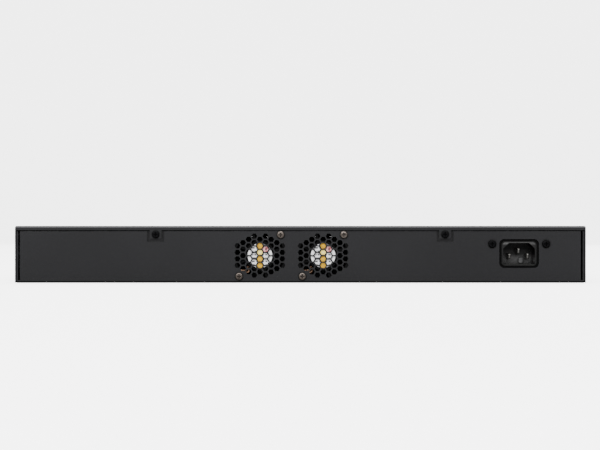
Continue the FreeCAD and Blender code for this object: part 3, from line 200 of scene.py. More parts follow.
# ------------------------------------------------------------------ shared effects
def make_edge_wear():
    """Mask that is 1 on a piece's own sharp edges, broken up by noise."""
    tree, given, out = effect(
        "edge wear", [("Width", "value", 0.0004), ("Break Up", "value", 400.0)], [("Mask", "value")]
    )
    rounded = add(tree, "ShaderNodeBevel", samples=4)
    join(tree, given["Width"], rounded.inputs["Radius"])
    flat = add(tree, "ShaderNodeNewGeometry").outputs["Normal"]
    turn = add(tree, "ShaderNodeVectorMath", operation="DOT_PRODUCT")
    join(tree, rounded.outputs[0], turn.inputs[0])
    join(tree, flat, turn.inputs[1])
    edge = ramp(tree, turn.outputs["Value"], 0.99, 0.8)
    rub = ramp(tree, noise(tree, place_of(tree), given["Break Up"], 3.0, 0.6), 0.35, 0.65)
    join(tree, maths(tree, "MULTIPLY", edge, rub), out["Mask"])
    return tree


def make_painted_cavity_shade():
    """Mask that is 1 in recesses, seams and slots, where painted shade darkens the colour."""
    tree, given, out = effect("cavity_shade_mask", [("Reach", "value", 0.001)], [("Mask", "value")])
    open_sky = add(tree, "ShaderNodeAmbientOcclusion", samples=8, only_local=False)
    join(tree, given["Reach"], open_sky.inputs["Distance"])
    join(tree, ramp(tree, open_sky.outputs["AO"], 0.88, 0.45), out["Mask"])
    return tree


def make_dust():
    """Fine dust that settles on upward faces, in patches."""
    tree, given, out = effect(
        "settled dust",
        [
            ("Color", "colour", grey(0.5)),
            ("Dust Color", "colour", (0.5, 0.48, 0.44, 1.0)),
            ("Amount", "value", 0.1),
        ],
        [("Color", "colour"), ("Mask", "value")],
    )
    up = split(tree, add(tree, "ShaderNodeNewGeometry").outputs["Normal"])[2]
    patch = noise(tree, place_of(tree), 28.0, 5.0, 0.65)
    specks = noise(tree, place_of(tree), 1600.0, 1.0)
    mask = maths(tree, "MULTIPLY", ramp(tree, up, 0.9, 0.99), ramp(tree, patch, 0.35, 0.75))
    mask = maths(tree, "MULTIPLY", mask, ramp(tree, specks, 0.3, 0.7))
    mask = maths(tree, "MULTIPLY", mask, given["Amount"])
    join(tree, blend_colour(tree, mask, given["Color"], given["Dust Color"]), out["Color"])
    join(tree, mask, out["Mask"])
    return tree


def make_powder_coat():
    """Powder coating: tiny lumps, faint light flecks and slow tone changes."""
    tree, given, out = effect(
        "powder coat",
        [
            ("Color", "colour", grey(0.1)),
            ("Fleck Color", "colour", grey(0.3)),
            ("Flecks", "value", 0.2),
            ("Scale", "value", 1500.0),
        ],
        [("Color", "colour"), ("Roughness", "value"), ("Height", "value")],
    )
    place = place_of(tree)
    lumps = noise(tree, place, given["Scale"], 2.0, 0.55)
    slow = noise(tree, place, 9.0, 3.0, 0.5)
    fleck = ramp(tree, noise(tree, place, maths(tree, "MULTIPLY", given["Scale"], 1.7), 1.0), 0.62, 0.72)
    fleck = maths(tree, "MULTIPLY", fleck, given["Flecks"])
    tone = grey_output(tree, ramp(tree, slow, 0.3, 0.7, 0.9, 1.1))
    toned = blend_colour(tree, 1.0, given["Color"], tone, "MULTIPLY")
    join(tree, blend_colour(tree, fleck, toned, given["Fleck Color"]), out["Color"])
    join(tree, ramp(tree, lumps, 0.25, 0.75, 0.44, 0.62), out["Roughness"])
    join(tree, lumps, out["Height"])
    return tree


def grey_output(tree, value):
    """A colour whose three channels are all the value."""
    node = add(tree, "ShaderNodeCombineColor")
    for channel in node.inputs:
        feed(tree, value, channel)
    return node.outputs[0]


def make_moulded_grain():
    """Moulded plastic: fine spark-eroded grain and faint flow marks."""
    tree, given, out = effect(
        "moulded grain",
        [("Color", "colour", grey(0.05)), ("Scale", "value", 2500.0), ("Gloss", "value", 0.45)],
        [("Color", "colour"), ("Roughness", "value"), ("Height", "value")],
    )
    place = place_of(tree)
    grain = noise(tree, place, given["Scale"], 2.0, 0.6)
    flow = noise(tree, stretched(tree, place, (1.0, 0.25, 1.0)), 120.0, 3.0, 0.6)
    tone = ramp(tree, flow, 0.25, 0.75, 0.85, 1.15)
    join(tree, blend_colour(tree, 1.0, given["Color"], grey_output(tree, tone), "MULTIPLY"), out["Color"])
    rough = maths(tree, "ADD", given["Gloss"], ramp(tree, grain, 0.3, 0.7, -0.07, 0.1))
    join(tree, rough, out["Roughness"])
    join(tree, grain, out["Height"])
    return tree


def make_rolled_metal():
    """Rolled or drawn metal: fine lines along one axis, slow tarnish and small scratches."""
    tree, given, out = effect(
        "rolled metal",
        [
            ("Color", "colour", grey(0.6)),
            ("Tarnish", "colour", grey(0.35)),
            ("Roughness", "value", 0.3),
            ("Across", "vector", (1.0, 1.0, 1.0)),
        ],
        [("Color", "colour"), ("Roughness", "value"), ("Height", "value")],
    )
    place = place_of(tree)
    lines_place = add(tree, "ShaderNodeVectorMath", operation="MULTIPLY")
    join(tree, place, lines_place.inputs[0])
    join(tree, given["Across"], lines_place.inputs[1])
    lines = noise(tree, lines_place.outputs[0], 1800.0, 2.0, 0.6)
    tarnish = ramp(tree, noise(tree, place, 160.0, 4.0, 0.65), 0.45, 0.8, 0.0, 0.55)
    join(tree, blend_colour(tree, tarnish, given["Color"], given["Tarnish"]), out["Color"])
    rough = maths(tree, "ADD", given["Roughness"], ramp(tree, lines, 0.3, 0.7, -0.06, 0.12))
    join(tree, rough, out["Roughness"])
    join(tree, lines, out["Height"])
    return tree


EDGE_WEAR = make_edge_wear()
PAINTED_CAVITY_SHADE = make_painted_cavity_shade()
DUST = make_dust()
POWDER_COAT = make_powder_coat()
MOULDED_GRAIN = make_moulded_grain()
ROLLED_METAL = make_rolled_metal()


# ------------------------------------------------------------------ materials
def start_material(name, metallic=0.0, **plain):
    """A material with its shader; plain values are set on the shader's own sockets."""
    material = bpy.data.materials.new(name)
    material.use_nodes = True
    tree = material.node_tree
    shader = tree.nodes["Principled BSDF"]
    shader.inputs["Metallic"].default_value = metallic
    for label, value in plain.items():
        shader.inputs[label.replace("_", " ")].default_value = value
    return material, tree, shader


def finish_surface(tree, shader, colour, roughness, height=None, depth=0.00002, strength=0.5):
    feed(tree, colour, shader.inputs["Base Color"])
    feed(tree, roughness, shader.inputs["Roughness"])
    if height is not None:
        bump = add(tree, "ShaderNodeBump")
        bump.inputs["Distance"].default_value = depth
        bump.inputs["Strength"].default_value = strength
        join(tree, height, bump.inputs["Height"])
        join(tree, bump.outputs[0], shader.inputs["Normal"])


def paint_cavity_shade(tree, colour, reach, amount):
    """Painted shade: bring the colour towards black in recesses and seams."""
    cavity_shade_mask = use(tree, PAINTED_CAVITY_SHADE, Reach=reach)["Mask"]
    return blend_colour(tree, maths(tree, "MULTIPLY", cavity_shade_mask, amount), colour, grey(0.001))


def paint(name, colour, fleck, flecks=0.25, wear_and_painted_light=(0.11, 0.11, 0.115, 1.0), dust=0.03, specular=0.12):
    """Powder-coated steel: a painted highlight on the lower part of bends, painted shade on bend crests,
    undersides and seams, worn edges, a little dust on top.
    """
    material, tree, shader = start_material(name, Specular_IOR_Level=specular)
    coat = use(tree, POWDER_COAT, Color=colour, Fleck_Color=fleck, Flecks=flecks, Scale=1500.0)
    up = split(tree, add(tree, "ShaderNodeNewGeometry").outputs["Normal"])[2]
    # painted highlight: where a face tilts a little upward, as low on a bend, the colour goes towards the pale
    # colour also used for worn edges
    bend_highlight = maths(tree, "MULTIPLY", ramp(tree, up, 0.04, 0.2), ramp(tree, up, 0.55, 0.35))
    lightened = blend_colour(tree, maths(tree, "MULTIPLY", bend_highlight, 0.8), coat["Color"], wear_and_painted_light)
    # painted shade: down-facing faces and the upper crest of each bend go near black, and are made matt
    under = ramp(tree, up, -0.1, -0.5)
    crest = maths(tree, "MULTIPLY", ramp(tree, up, 0.4, 0.65), ramp(tree, up, 0.99, 0.96))
    bend_and_underside_shade = maths(tree, "MAXIMUM", under, crest)
    shaded = blend_colour(tree, maths(tree, "MULTIPLY", bend_and_underside_shade, 0.85), lightened, grey(0.001))
    matt = blend_scalar(tree, bend_and_underside_shade, coat["Roughness"], 1.0)
    wear = use(tree, EDGE_WEAR, Width=0.00035, Break_Up=260.0)["Mask"]
    kept = maths(tree, "SUBTRACT", 1.0, bend_and_underside_shade)
    edged = blend_colour(tree, maths(tree, "MULTIPLY", maths(tree, "MULTIPLY", wear, 0.3), kept), shaded, wear_and_painted_light)
    # painted shade darkens recesses and seams
    recess_shaded = paint_cavity_shade(tree, edged, 0.0025, 0.97)
    dusty = use(tree, DUST, Color=recess_shaded, Dust_Color=(0.3, 0.29, 0.27, 1.0), Amount=dust)
    finish_surface(tree, shader, dusty["Color"], matt, coat["Height"], 0.00006, 0.6)
    return material


def plastic(name, colour, gloss=0.45, scale=2500.0, depth=0.00003, dust=0.05, specular=0.4):
    material, tree, shader = start_material(name, Specular_IOR_Level=specular)
    grain = use(tree, MOULDED_GRAIN, Color=colour, Scale=scale, Gloss=gloss)
    wear = use(tree, EDGE_WEAR, Width=0.0002, Break_Up=500.0)["Mask"]
    lighter = tuple(min(1.0, c * 2.0 + 0.002) for c in colour[:3]) + (1.0,)
    lightened = blend_colour(tree, maths(tree, "MULTIPLY", wear, 0.35), grain["Color"], lighter)
    dusty = use(tree, DUST, Color=lightened, Amount=dust)
    finish_surface(tree, shader, dusty["Color"], grain["Roughness"], grain["Height"], depth, 0.5)
    return material


def metal(
    name, colour, tarnish, roughness=0.3, across=(1.0, 1.0, 1.0), depth=0.000015, recess_shade=0.0, shaded_behind=None
):
    """Bare or plated metal; painted shade blackens recesses by the given amount, and behind the given place
    along Y the metal turns near black as painted shade, and matt.
    """
    material, tree, shader = start_material(name, metallic=1.0)
    sheet = use(tree, ROLLED_METAL, Color=colour, Tarnish=tarnish, Roughness=roughness, Across=across)
    wear = use(tree, EDGE_WEAR, Width=0.00025, Break_Up=600.0)["Mask"]
    brighter = tuple(min(1.0, c * 1.2) for c in colour[:3]) + (1.0,)
    shown = blend_colour(tree, maths(tree, "MULTIPLY", wear, 0.5), sheet["Color"], brighter)
    # painted shade in recesses
    if recess_shade:
        shown = paint_cavity_shade(tree, shown, 0.0012, recess_shade)
    rough = sheet["Roughness"]
    # painted shade: behind the given place along Y the metal goes near black; it also goes matt
    if shaded_behind is not None:
        inside_shade = ramp(tree, split(tree, place_of(tree))[1], shaded_behind, shaded_behind + 0.004)
        shown = blend_colour(tree, maths(tree, "MULTIPLY", inside_shade, 0.97), shown, grey(0.01))
        rough = blend_scalar(tree, inside_shade, rough, 1.0)
    finish_surface(tree, shader, shown, rough, sheet["Height"], depth, 0.4)
    return material


def board_laminate():
    """Green solder mask over copper tracks, with pale vias."""
    material, tree, shader = start_material("board laminate", Coat_Weight=0.3, Coat_Roughness=0.2)
    place = place_of(tree)
    tracks = cells(tree, stretched(tree, place, (1.0, 0.35, 1.0)), 300.0, "DISTANCE_TO_EDGE")
    track = ramp(tree, tracks.outputs["Distance"], 0.16, 0.08)
    vias = cells(tree, place, 420.0)
    via = ramp(tree, vias.outputs["Distance"], 0.14, 0.1)
    weave = noise(tree, place, 2200.0, 2.0)
    mask_colour = blend_colour(tree, track, (0.008, 0.07, 0.03, 1.0), (0.02, 0.14, 0.055, 1.0))
    speckled = blend_colour(tree, maths(tree, "MULTIPLY", via, 0.7), mask_colour, (0.45, 0.42, 0.3, 1.0))
    rough = ramp(tree, weave, 0.3, 0.7, 0.3, 0.5)
    finish_surface(tree, shader, speckled, rough, maths(tree, "ADD", track, weave), 0.00003, 0.5)
    return material


def sticker_paper():
    """Hub sticker: white paper with broken dark rows that spell nothing, and a small red mark."""
    material, tree, shader = start_material("hub sticker")
    place = split(tree, place_of(tree))
    first, second = FAN_CENTRES
    boundary = (first.x + second.x) / 2
    is_first = maths(tree, "GREATER_THAN", place[0], boundary)
    centre = maths(tree, "ADD", maths(tree, "MULTIPLY", is_first, first.x - second.x), second.x)
    across = maths(tree, "SUBTRACT", centre, place[0])
    up = maths(tree, "SUBTRACT", place[2], first.z)
    rows = maths(tree, "SINE", maths(tree, "MULTIPLY", up, 2 * math.pi / PRINT_PITCH))
    flat_place = add(tree, "ShaderNodeCombineXYZ")
    join(tree, maths(tree, "MULTIPLY", across, 700.0), flat_place.inputs[0])
    join(tree, maths(tree, "FLOOR", maths(tree, "DIVIDE", up, PRINT_PITCH)), flat_place.inputs[2])
    broken = noise(tree, flat_place.outputs[0], 1.0, 0.0)
    printed = maths(tree, "MULTIPLY", ramp(tree, rows, -0.1, 0.3), ramp(tree, broken, 0.44, 0.5))
    away = maths(tree, "ABSOLUTE", across)
    printed = maths(tree, "MULTIPLY", printed, ramp(tree, away, PRINT_HALF_WIDTH, 0.0062))
    paper = blend_colour(
        tree, noise(tree, place_of(tree), 900.0, 4.0), (0.84, 0.84, 0.84, 1.0), (0.95, 0.95, 0.95, 1.0)
    )
    shown = blend_colour(tree, maths(tree, "MULTIPLY", printed, 0.95), paper, (0.03, 0.03, 0.035, 1.0))
    red_x = maths(tree, "SUBTRACT", across, RED_ASIDE)
    red_z = maths(tree, "SUBTRACT", up, RED_RISE)
    red_distance = distance(tree, red_x, red_z)
    halo = ramp(tree, red_distance, 0.0030, 0.0022)
    shown = blend_colour(tree, maths(tree, "MULTIPLY", halo, 0.6), shown, (0.8, 0.12, 0.13, 1.0))
    dot = ramp(tree, red_distance, 0.0013, 0.0008)
    shown = blend_colour(tree, maths(tree, "MULTIPLY", dot, 0.95), shown, (0.1, 0.005, 0.01, 1.0))
    rim = ramp(tree, distance(tree, across, up), 0.0092, 0.0096)
    shown = blend_colour(tree, rim, shown, grey(0.01))
    finish_surface(tree, shader, shown, 0.5, noise(tree, place_of(tree), 1500.0, 3.0), 0.00001, 0.3)
    return material


def amber_tape():
    """Amber polyimide tape with fine wrinkles and one pale band of painted sheen."""
    material, tree, shader = start_material("amber tape", Specular_IOR_Level=0.25)
    place = place_of(tree)
    wrinkle = noise(tree, stretched(tree, place, (1.0, 1.0, 3.0)), 260.0, 3.0)
    colour = blend_colour(tree, wrinkle, (0.42, 0.21, 0.004, 1.0), (0.7, 0.42, 0.016, 1.0))
    # painted highlight: a band of bright yellow sheen just above the hub's centre
    rise = maths(tree, "SUBTRACT", split(tree, place)[2], FAN_CENTRES[0].z + 0.0026)
    sheen_band = ramp(tree, maths(tree, "ABSOLUTE", rise), 0.0026, 0.0008)
    colour = blend_colour(tree, sheen_band, colour, (1.0, 0.82, 0.22, 1.0))
    finish_surface(tree, shader, colour, ramp(tree, wrinkle, 0.3, 0.7, 0.25, 0.4), wrinkle, 0.00008, 0.6)
    return material


def clear_pipe():
    """Frosted clear plastic of the light pipes, unlit."""
    material, tree, shader = start_material("light pipe", Transmission_Weight=0.35, IOR=1.49)
    cloud = noise(tree, place_of(tree), 900.0, 3.0)
    colour = blend_colour(tree, cloud, (0.62, 0.66, 0.6, 1.0), (0.8, 0.84, 0.78, 1.0))
    finish_surface(tree, shader, colour, ramp(tree, cloud, 0.3, 0.7, 0.25, 0.45), cloud, 0.00002, 0.4)
    return material


def port_lines(tree, place):
    """Mask of the plain printed lines over each column of jacks."""
    x, _, z = split(tree, place)
    shown = 0.0
    for side in ("left", "right"):
        low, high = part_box("jack_shell_" + side)
        pitch, half_count = (high[0] - low[0]) / JACK_COLUMNS, JACK_COLUMNS / 2
        column = maths(tree, "DIVIDE", maths(tree, "SUBTRACT", x, low[0]), pitch)
        from_middle = maths(tree, "ABSOLUTE", maths(tree, "SUBTRACT", column, half_count))
        within = maths(tree, "LESS_THAN", from_middle, half_count)
        part = maths(tree, "ABSOLUTE", maths(tree, "SUBTRACT", maths(tree, "FRACT", column), 0.5))
        dash = maths(tree, "MULTIPLY", within, maths(tree, "LESS_THAN", part, 0.4))
        rise = maths(tree, "ABSOLUTE", maths(tree, "SUBTRACT", z, high[2] + 0.0018))
        line = maths(tree, "MULTIPLY", dash, ramp(tree, rise, 0.00028, 0.0002))
        shown = maths(tree, "MAXIMUM", shown, line)
    return shown


def front_film():
    """Matt printed film on the front: near black with a fine emboss."""
    material, tree, shader = start_material("front film")
    place = place_of(tree)
    emboss = noise(tree, place, 3200.0, 1.0)
    slow = noise(tree, place, 12.0, 4.0)
    colour = blend_colour(tree, slow, (0.016, 0.016, 0.018, 1.0), (0.024, 0.024, 0.027, 1.0))
    colour = blend_colour(tree, port_lines(tree, place), colour, (0.5, 0.5, 0.5, 1.0))
    dusty = use(tree, DUST, Color=colour, Amount=0.05)
    finish_surface(tree, shader, dusty["Color"], ramp(tree, slow, 0.3, 0.7, 0.38, 0.5), emboss, 0.00003, 0.5)
    return material


def inlet_moulding():
    """Black moulding of the mains inlet: a painted highlight along the rim's top, a painted black outline
    round the rim, painted shade in the upper well and in recesses, painted light on the lower well.
    """
    material, tree, shader = start_material("inlet moulding", Specular_IOR_Level=0.2)
    place = split(tree, place_of(tree))
    across = maths(tree, "ABSOLUTE", maths(tree, "SUBTRACT", place[0], INLET_CENTRE.x))
    rise = maths(tree, "SUBTRACT", place[2], INLET_CENTRE.z)
    deep = ramp(tree, maths(tree, "SUBTRACT", INLET_FACE, place[1]), 0.0004, 0.0012)
    # painted highlight: the rim is lighter along its top
    rim = blend_colour(tree, ramp(tree, rise, 0.0062, 0.0078), grey(0.0035), grey(0.04))
    corner_x = maths(tree, "MAXIMUM", maths(tree, "SUBTRACT", across, RIM_HALF[0] - RIM_RADIUS), 0.0)
    corner_z = maths(
        tree, "MAXIMUM", maths(tree, "SUBTRACT", maths(tree, "ABSOLUTE", rise), RIM_HALF[1] - RIM_RADIUS), 0.0
    )
    # painted shade: a black outline along the rim's outer edge
    rim_outline_shade = ramp(tree, distance(tree, corner_x, corner_z), RIM_RADIUS - 0.0011, RIM_RADIUS - 0.0006)
    rim = blend_colour(tree, rim_outline_shade, rim, grey(0.0006))
    # painted shade in the upper well, painted light on its lower part
    well = blend_colour(tree, ramp(tree, rise, 0.0, -0.004), grey(0.0004), grey(0.05))
    grain = use(tree, MOULDED_GRAIN, Color=blend_colour(tree, deep, rim, well), Scale=2500.0, Gloss=0.4)
    # painted shade in recesses
    shown = paint_cavity_shade(tree, grain["Color"], 0.003, 0.8)
    dusty = use(tree, DUST, Color=shown, Amount=0.02)
    finish_surface(tree, shader, dusty["Color"], grain["Roughness"], grain["Height"], 0.00003, 0.5)
    return material


def lead_sleeve():
    """Wire insulation in two browns, changing from lead to lead."""
    material, tree, shader = start_material("lead sleeve", Specular_IOR_Level=0.4)
    random_piece = add(tree, "ShaderNodeNewGeometry").outputs["Random Per Island"]
    second = maths(tree, "GREATER_THAN", random_piece, 0.5)
    warm = blend_colour(tree, second, (0.045, 0.016, 0.006, 1.0), (0.07, 0.03, 0.012, 1.0))
    scuff = noise(tree, place_of(tree), 700.0, 3.0)
    colour = blend_colour(tree, ramp(tree, scuff, 0.5, 0.66), warm, (0.2, 0.12, 0.07, 1.0))
    finish_surface(tree, shader, colour, ramp(tree, scuff, 0.3, 0.7, 0.3, 0.45), scuff, 0.00002, 0.4)
    return material


def stage_finish():
    """Pale paper with its own wash of light; its far rise is flagged off from the switch."""
    material, tree, shader = start_material("studio paper", Specular_IOR_Level=0.2)
    fibre = noise(tree, place_of(tree), 60.0, 4.0)
    colour = blend_colour(tree, fibre, (0.86, 0.86, 0.86, 1.0), (0.9, 0.9, 0.9, 1.0))
    ray = add(tree, "ShaderNodeLightPath").outputs
    height = split(tree, place_of(tree))[2]
    mirrored = maths(tree, "MULTIPLY", ray["Is Glossy Ray"], 0.7)
    flagged = maths(tree, "MAXIMUM", ramp(tree, height, 0.02, 0.1), mirrored)
    unseen = maths(tree, "SUBTRACT", 1.0, ray["Is Camera Ray"])
    lit = blend_colour(tree, maths(tree, "MULTIPLY", flagged, unseen), colour, grey(0.01))
    join(tree, colour, shader.inputs["Emission Color"])
    join(tree, maths(tree, "MULTIPLY", ray["Is Camera Ray"], PAPER_GLOW), shader.inputs["Emission Strength"])
    finish_surface(tree, shader, lit, 0.8)
    return material


CHARCOAL = paint("charcoal powder coat", (0.0105, 0.0105, 0.0115, 1.0), (0.03, 0.03, 0.033, 1.0))
# near-black coat for the inlet bracket, dark enough that the gap round the inlet's rim shows as black: partly
# painted shade
BLACK_COAT = paint("black coat", grey(0.003), grey(0.006), 0.1, grey(0.01), specular=0.02)
# black screws with painted shade in their recesses
BLACK_SCREW = metal(
    "black oxide screw", (0.006, 0.006, 0.0065, 1.0), (0.011, 0.01, 0.01, 1.0), 0.42, recess_shade=0.98
)
ZINC_SCREW = metal("zinc screw", (0.58, 0.58, 0.56, 1.0), (0.36, 0.34, 0.3, 1.0), 0.3)
# nickel screws with painted shade in their cross recesses
NICKEL_SCREW = metal("nickel screw", (0.12, 0.102, 0.09, 1.0), (0.03, 0.022, 0.017, 1.0), 0.26, recess_shade=0.98)
BRASS_POST = metal("brass post", (0.7, 0.52, 0.24, 1.0), (0.42, 0.3, 0.14, 1.0), 0.28)
# tinned steel goes near black and matt behind the front face, as painted shade
TINNED = metal(
    "tinned steel",
    (0.6, 0.6, 0.59, 1.0),
    (0.38, 0.37, 0.35, 1.0),
    0.27,
    (1.0, 8.0, 0.3),
    shaded_behind=FRONT_FACE + 0.003,
)
GALVANISED = metal("galvanised steel", (0.55, 0.56, 0.57, 1.0), (0.4, 0.41, 0.42, 1.0), 0.36)
GOLD = metal("gold contact", (0.83, 0.6, 0.24, 1.0), (0.6, 0.4, 0.16, 1.0), 0.22)
SINK = metal("black anodised aluminium", (0.03, 0.03, 0.032, 1.0), grey(0.018), 0.4, (6.0, 0.2, 1.0))
# nickel pins with painted shade in the recesses round them
NICKEL_PIN = metal("nickel pin", (0.12, 0.118, 0.112, 1.0), (0.05, 0.047, 0.044, 1.0), 0.2, recess_shade=0.97)
COPPER = metal("copper winding", (0.6, 0.26, 0.1, 1.0), (0.35, 0.14, 0.06, 1.0), 0.3, (1.0, 9.0, 1.0))
BLACK_PLASTIC = plastic("black moulding", (0.018, 0.018, 0.019, 1.0), 0.42)
FAN_PLASTIC = plastic("fan moulding", (0.0018, 0.0018, 0.002, 1.0), 0.5, specular=0.05)
GREY_PLASTIC = plastic("grey moulding", (0.12, 0.12, 0.125, 1.0), 0.4)
WHITE_PLASTIC = plastic("white moulding", (0.6, 0.58, 0.52, 1.0), 0.4)
CHIP = plastic("chip resin", (0.022, 0.022, 0.023, 1.0), 0.55, 3500.0)
CAN_SLEEVE = plastic("capacitor sleeve", (0.02, 0.022, 0.05, 1.0), 0.28)
FERRITE = plastic("ferrite", (0.05, 0.048, 0.046, 1.0), 0.6, 1400.0, 0.00006)

FINISHES = {
    "chassis_base": CHARCOAL,
    "top_cover": CHARCOAL,
    "front_panel": CHARCOAL,
    "front_skin": front_film(),
    "cover_rear_screws": BLACK_SCREW,
    "cover_side_screws": BLACK_SCREW,
    "inlet_screws": BLACK_SCREW,
    "front_panel_screws": ZINC_SCREW,
    "board_screws": ZINC_SCREW,
    "fan_screws": NICKEL_SCREW,
    "board_standoffs": BRASS_POST,
    "main_board": board_laminate(),
    "jack_body_left": BLACK_PLASTIC,
    "jack_body_right": BLACK_PLASTIC,
    "console_jack_body": BLACK_PLASTIC,
    "jack_shell_left": TINNED,
    "jack_shell_right": TINNED,
    "optical_cage": TINNED,
    "supply_channel": GALVANISED,
    "supply_cover": GALVANISED,
    "inlet_bracket": BLACK_COAT,
    "jack_contacts_left": GOLD,
    "jack_contacts_right": GOLD,
    "console_jack_contacts": GOLD,
    "light_pipes": clear_pipe(),
    "optical_sockets": BLACK_PLASTIC,
    "switch_chip": CHIP,
    "port_chips": CHIP,
    "memory_chips": CHIP,
    "board_chokes": CHIP,
    "switch_heatsink": SINK,
    "port_heatsinks": SINK,
    "supply_heatsinks": SINK,
    "board_capacitors": CAN_SLEEVE,
    "supply_capacitors": CAN_SLEEVE,
    "power_header": WHITE_PLASTIC,
    "fan_headers": WHITE_PLASTIC,
    "mode_switch": BLACK_PLASTIC,
    "reset_switch": BLACK_PLASTIC,
    "mode_button": GREY_PLASTIC,
    "reset_button": BLACK_PLASTIC,
    "supply_transformer": FERRITE,
    "supply_choke": FERRITE,
    "inlet_body": inlet_moulding(),
    "inlet_pins": NICKEL_PIN,
    "inlet_leads": lead_sleeve(),
    "fan_frame_1": FAN_PLASTIC,
    "fan_frame_2": FAN_PLASTIC,
    "fan_rotor_1": FAN_PLASTIC,
    "fan_rotor_2": FAN_PLASTIC,
    "fan_shaft_1": NICKEL_PIN,
    "fan_shaft_2": NICKEL_PIN,
    "fan_bearings": NICKEL_PIN,
    "fan_stators": COPPER,
    "fan_labels": sticker_paper(),
}
FINISHES["supply_board"] = FINISHES["main_board"]
FINISHES["supply_cable"] = FINISHES["inlet_leads"]
FINISHES["fan_leads"] = FINISHES["inlet_leads"]


def dress_nodes():
    """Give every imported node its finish."""
    for name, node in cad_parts.items():
        node.data.materials.clear()
        node.data.materials.append(FINISHES[name])


# ------------------------------------------------------------------ added pieces
def mesh_piece(name, build, material):
    """A mesh object from a function that fills a bmesh."""
    mesh = bpy.data.meshes.new(name)
    work = bmesh.new()
    build(work)
    bmesh.ops.recalc_face_normals(work, faces=work.faces)
    work.to_mesh(mesh)
    work.free()
    piece = bpy.data.objects.new(name, mesh)
    piece.data.materials.append(material)
    bpy.context.scene.collection.objects.link(piece)
    return piece


def fan_tapes(material):
    """Amber tape strip over each hub sticker, gently bowed along its length."""
    rows = 12
    for number, centre in enumerate(FAN_CENTRES, start=1):

        def strip(work, centre=centre):
            rings = []
            for row in range(rows + 1):
                z = centre.z + TAPE_LENGTH * (row / rows - 0.5)
                lift = 0.05 * MM * (1 + math.sin(row * 1.7 + number))
                low_y = LABEL_FACE + 0.01 * MM + lift * 0.5
                edge = TAPE_WIDTH / 2 * (1 - 0.01 * math.cos(row * 2.1))
                ring = [
                    (centre.x - edge, low_y),
                    (centre.x + edge, low_y),
                    (centre.x + edge, low_y + TAPE_THICK),
                    (centre.x - edge, low_y + TAPE_THICK),
                ]
                rings.append([work.verts.new((x, y, z)) for x, y in ring])
            for before, after in zip(rings, rings[1:]):
                for k in range(4):
                    work.faces.new((before[k], before[(k + 1) % 4], after[(k + 1) % 4], after[k]))
            work.faces.new(rings[0])
            work.faces.new(rings[-1])

        piece = mesh_piece("fan_tape_%d" % number, strip, material)
        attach(piece, "case")


def bar(work, low, high):
    """A plain bar between two corners."""
    corners = [
        work.verts.new((x, y, z))
        for x in (low[0], high[0])
        for y in (low[1], high[1])
        for z in (low[2], high[2])
    ]
    for a, b, c, d in ((0, 1, 3, 2), (4, 6, 7, 5), (0, 4, 5, 1), (2, 3, 7, 6), (0, 2, 6, 4), (1, 5, 7, 3)):
        work.faces.new((corners[a], corners[b], corners[c], corners[d]))


def port_gaskets(material):
    """Foam gasket frames behind the panel, one round each block of jacks."""
    back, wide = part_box("front_skin")[1][1] + GASKET_SET_BACK, GASKET_WIDTH
    for side in ("left", "right"):
        low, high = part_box("jack_shell_" + side)
        x0, x1 = low[0] - GASKET_GAP, high[0] + GASKET_GAP
        z1 = high[2] + GASKET_GAP

        def frame_bars(work, x0=x0, x1=x1, z1=z1):
            bar(work, (x0 - wide, back, z1), (x1 + wide, back + wide, z1 + wide))
            bar(work, (x0 - wide, back, BOARD_TOP + 0.2 * MM), (x0, back + wide, z1))
            bar(work, (x1, back, BOARD_TOP + 0.2 * MM), (x1 + wide, back + wide, z1))

        piece = mesh_piece("port_gasket_" + side, frame_bars, material)
        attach(piece, "case")


def inlet_key(material):
    """Small raised block on the floor of the inlet's well, beside the earth pin."""
    x, z = INLET_CENTRE.x - KEY_ASIDE, INLET_CENTRE.z - KEY_DROP
    well_floor = INLET_FACE - WELL_DEPTH
    low = (x - KEY_HALF_WIDTH, well_floor, z - KEY_FOOT)
    high = (x + KEY_HALF_WIDTH, well_floor + KEY_HEIGHT, z - KEY_TOP)

    def block(work):
        bar(work, low, high)

    piece = mesh_piece("inlet_key", block, material)
    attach(piece, "case")


dress_nodes()
fan_tapes(amber_tape())
port_gaskets(BLACK_PLASTIC)
# the block's paler black is painted light, like the painted lit lower part of the well
inlet_key(plastic("worn black moulding", (0.045, 0.045, 0.046, 1.0), 0.5))


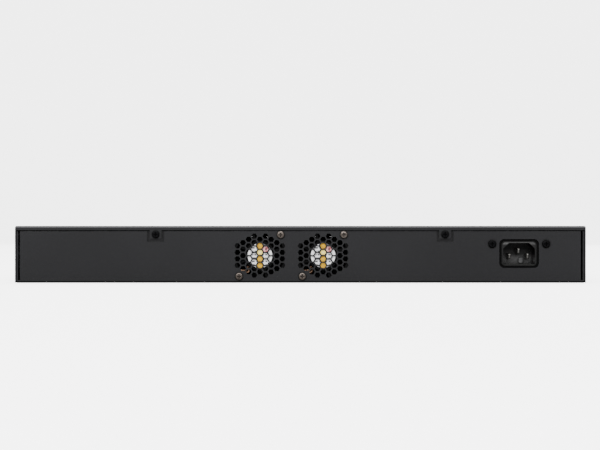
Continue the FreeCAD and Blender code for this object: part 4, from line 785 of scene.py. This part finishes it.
# ------------------------------------------------------------------ studio
def studio_floor():
    """Pale sheet a hair under the switch that rises in a wide curve far beyond its front."""
    half, near_edge, rise, radius, steps = 6.0, 3.0, 3.5, 1.5, 16

    def sweep(work):
        outline = [(3.2, 0.0)]
        for step in range(steps + 1):
            turn = math.radians(90) * step / steps
            outline.append((-near_edge - radius * math.sin(turn), radius * (1 - math.cos(turn))))
        outline.append((-near_edge - radius, rise))
        rows = [[work.verts.new((x, y, z)) for y, z in outline] for x in (-half, half)]
        for k in range(len(outline) - 1):
            work.faces.new((rows[0][k], rows[0][k + 1], rows[1][k + 1], rows[1][k]))

    floor = mesh_piece("studio_floor", sweep, stage_finish())
    for face in floor.data.polygons:
        face.use_smooth = True
    floor.location.z = -FLOOR_DROP


def soft_light(name, place, target, size, power):
    """A large square area light aimed at a target."""
    data = bpy.data.lights.new(name, "AREA")
    data.shape = "RECTANGLE"
    data.size, data.size_y = size
    data.energy = power
    lamp = bpy.data.objects.new(name, data)
    lamp.location = place
    lamp.rotation_euler = (Vector(target) - Vector(place)).to_track_quat("-Z", "Y").to_euler()
    bpy.context.scene.collection.objects.link(lamp)


def studio_lights():
    soft_light("overhead", (0.0, -0.3, 1.6), (0.0, 0.0, 0.0), (2.4, 1.8), 36.0)
    soft_light("rear_fill", (0.3, 2.4, 1.1), (0.0, 0.13, 0.02), (2.4, 0.8), 90.0)
    soft_light("front_fill", (-0.4, -2.2, 1.1), (0.0, -0.13, 0.02), (2.4, 1.2), 34.0)
    world = bpy.data.worlds.new("soft room")
    world.use_nodes = True
    sky = world.node_tree
    sky.nodes["Background"].inputs["Color"].default_value = (1.0, 1.0, 1.0, 1.0)
    seen = add(sky, "ShaderNodeLightPath").outputs["Is Camera Ray"]
    strength = maths(sky, "ADD", maths(sky, "MULTIPLY", seen, SKY_GLOW), SKY_LIGHT)
    join(sky, strength, sky.nodes["Background"].inputs["Strength"])
    bpy.context.scene.world = world


def camera():
    """Level view of the rear, at the height of the cover."""
    data = bpy.data.cameras.new("camera")
    data.lens = 100.0
    data.sensor_width = 36.0
    data.clip_end = 50.0
    data.shift_y = 0.98 / 462.4     # keeps the switch where a camera about 1 mm higher puts it
    view = bpy.data.objects.new("camera", data)
    view.location = (0.3 * MM, REAR_FACE + 1284.0 * MM, 43.7 * MM)
    view.rotation_euler = (math.radians(90), 0.0, math.radians(180))
    bpy.context.scene.collection.objects.link(view)
    bpy.context.scene.camera = view


studio_floor()
studio_lights()
camera()
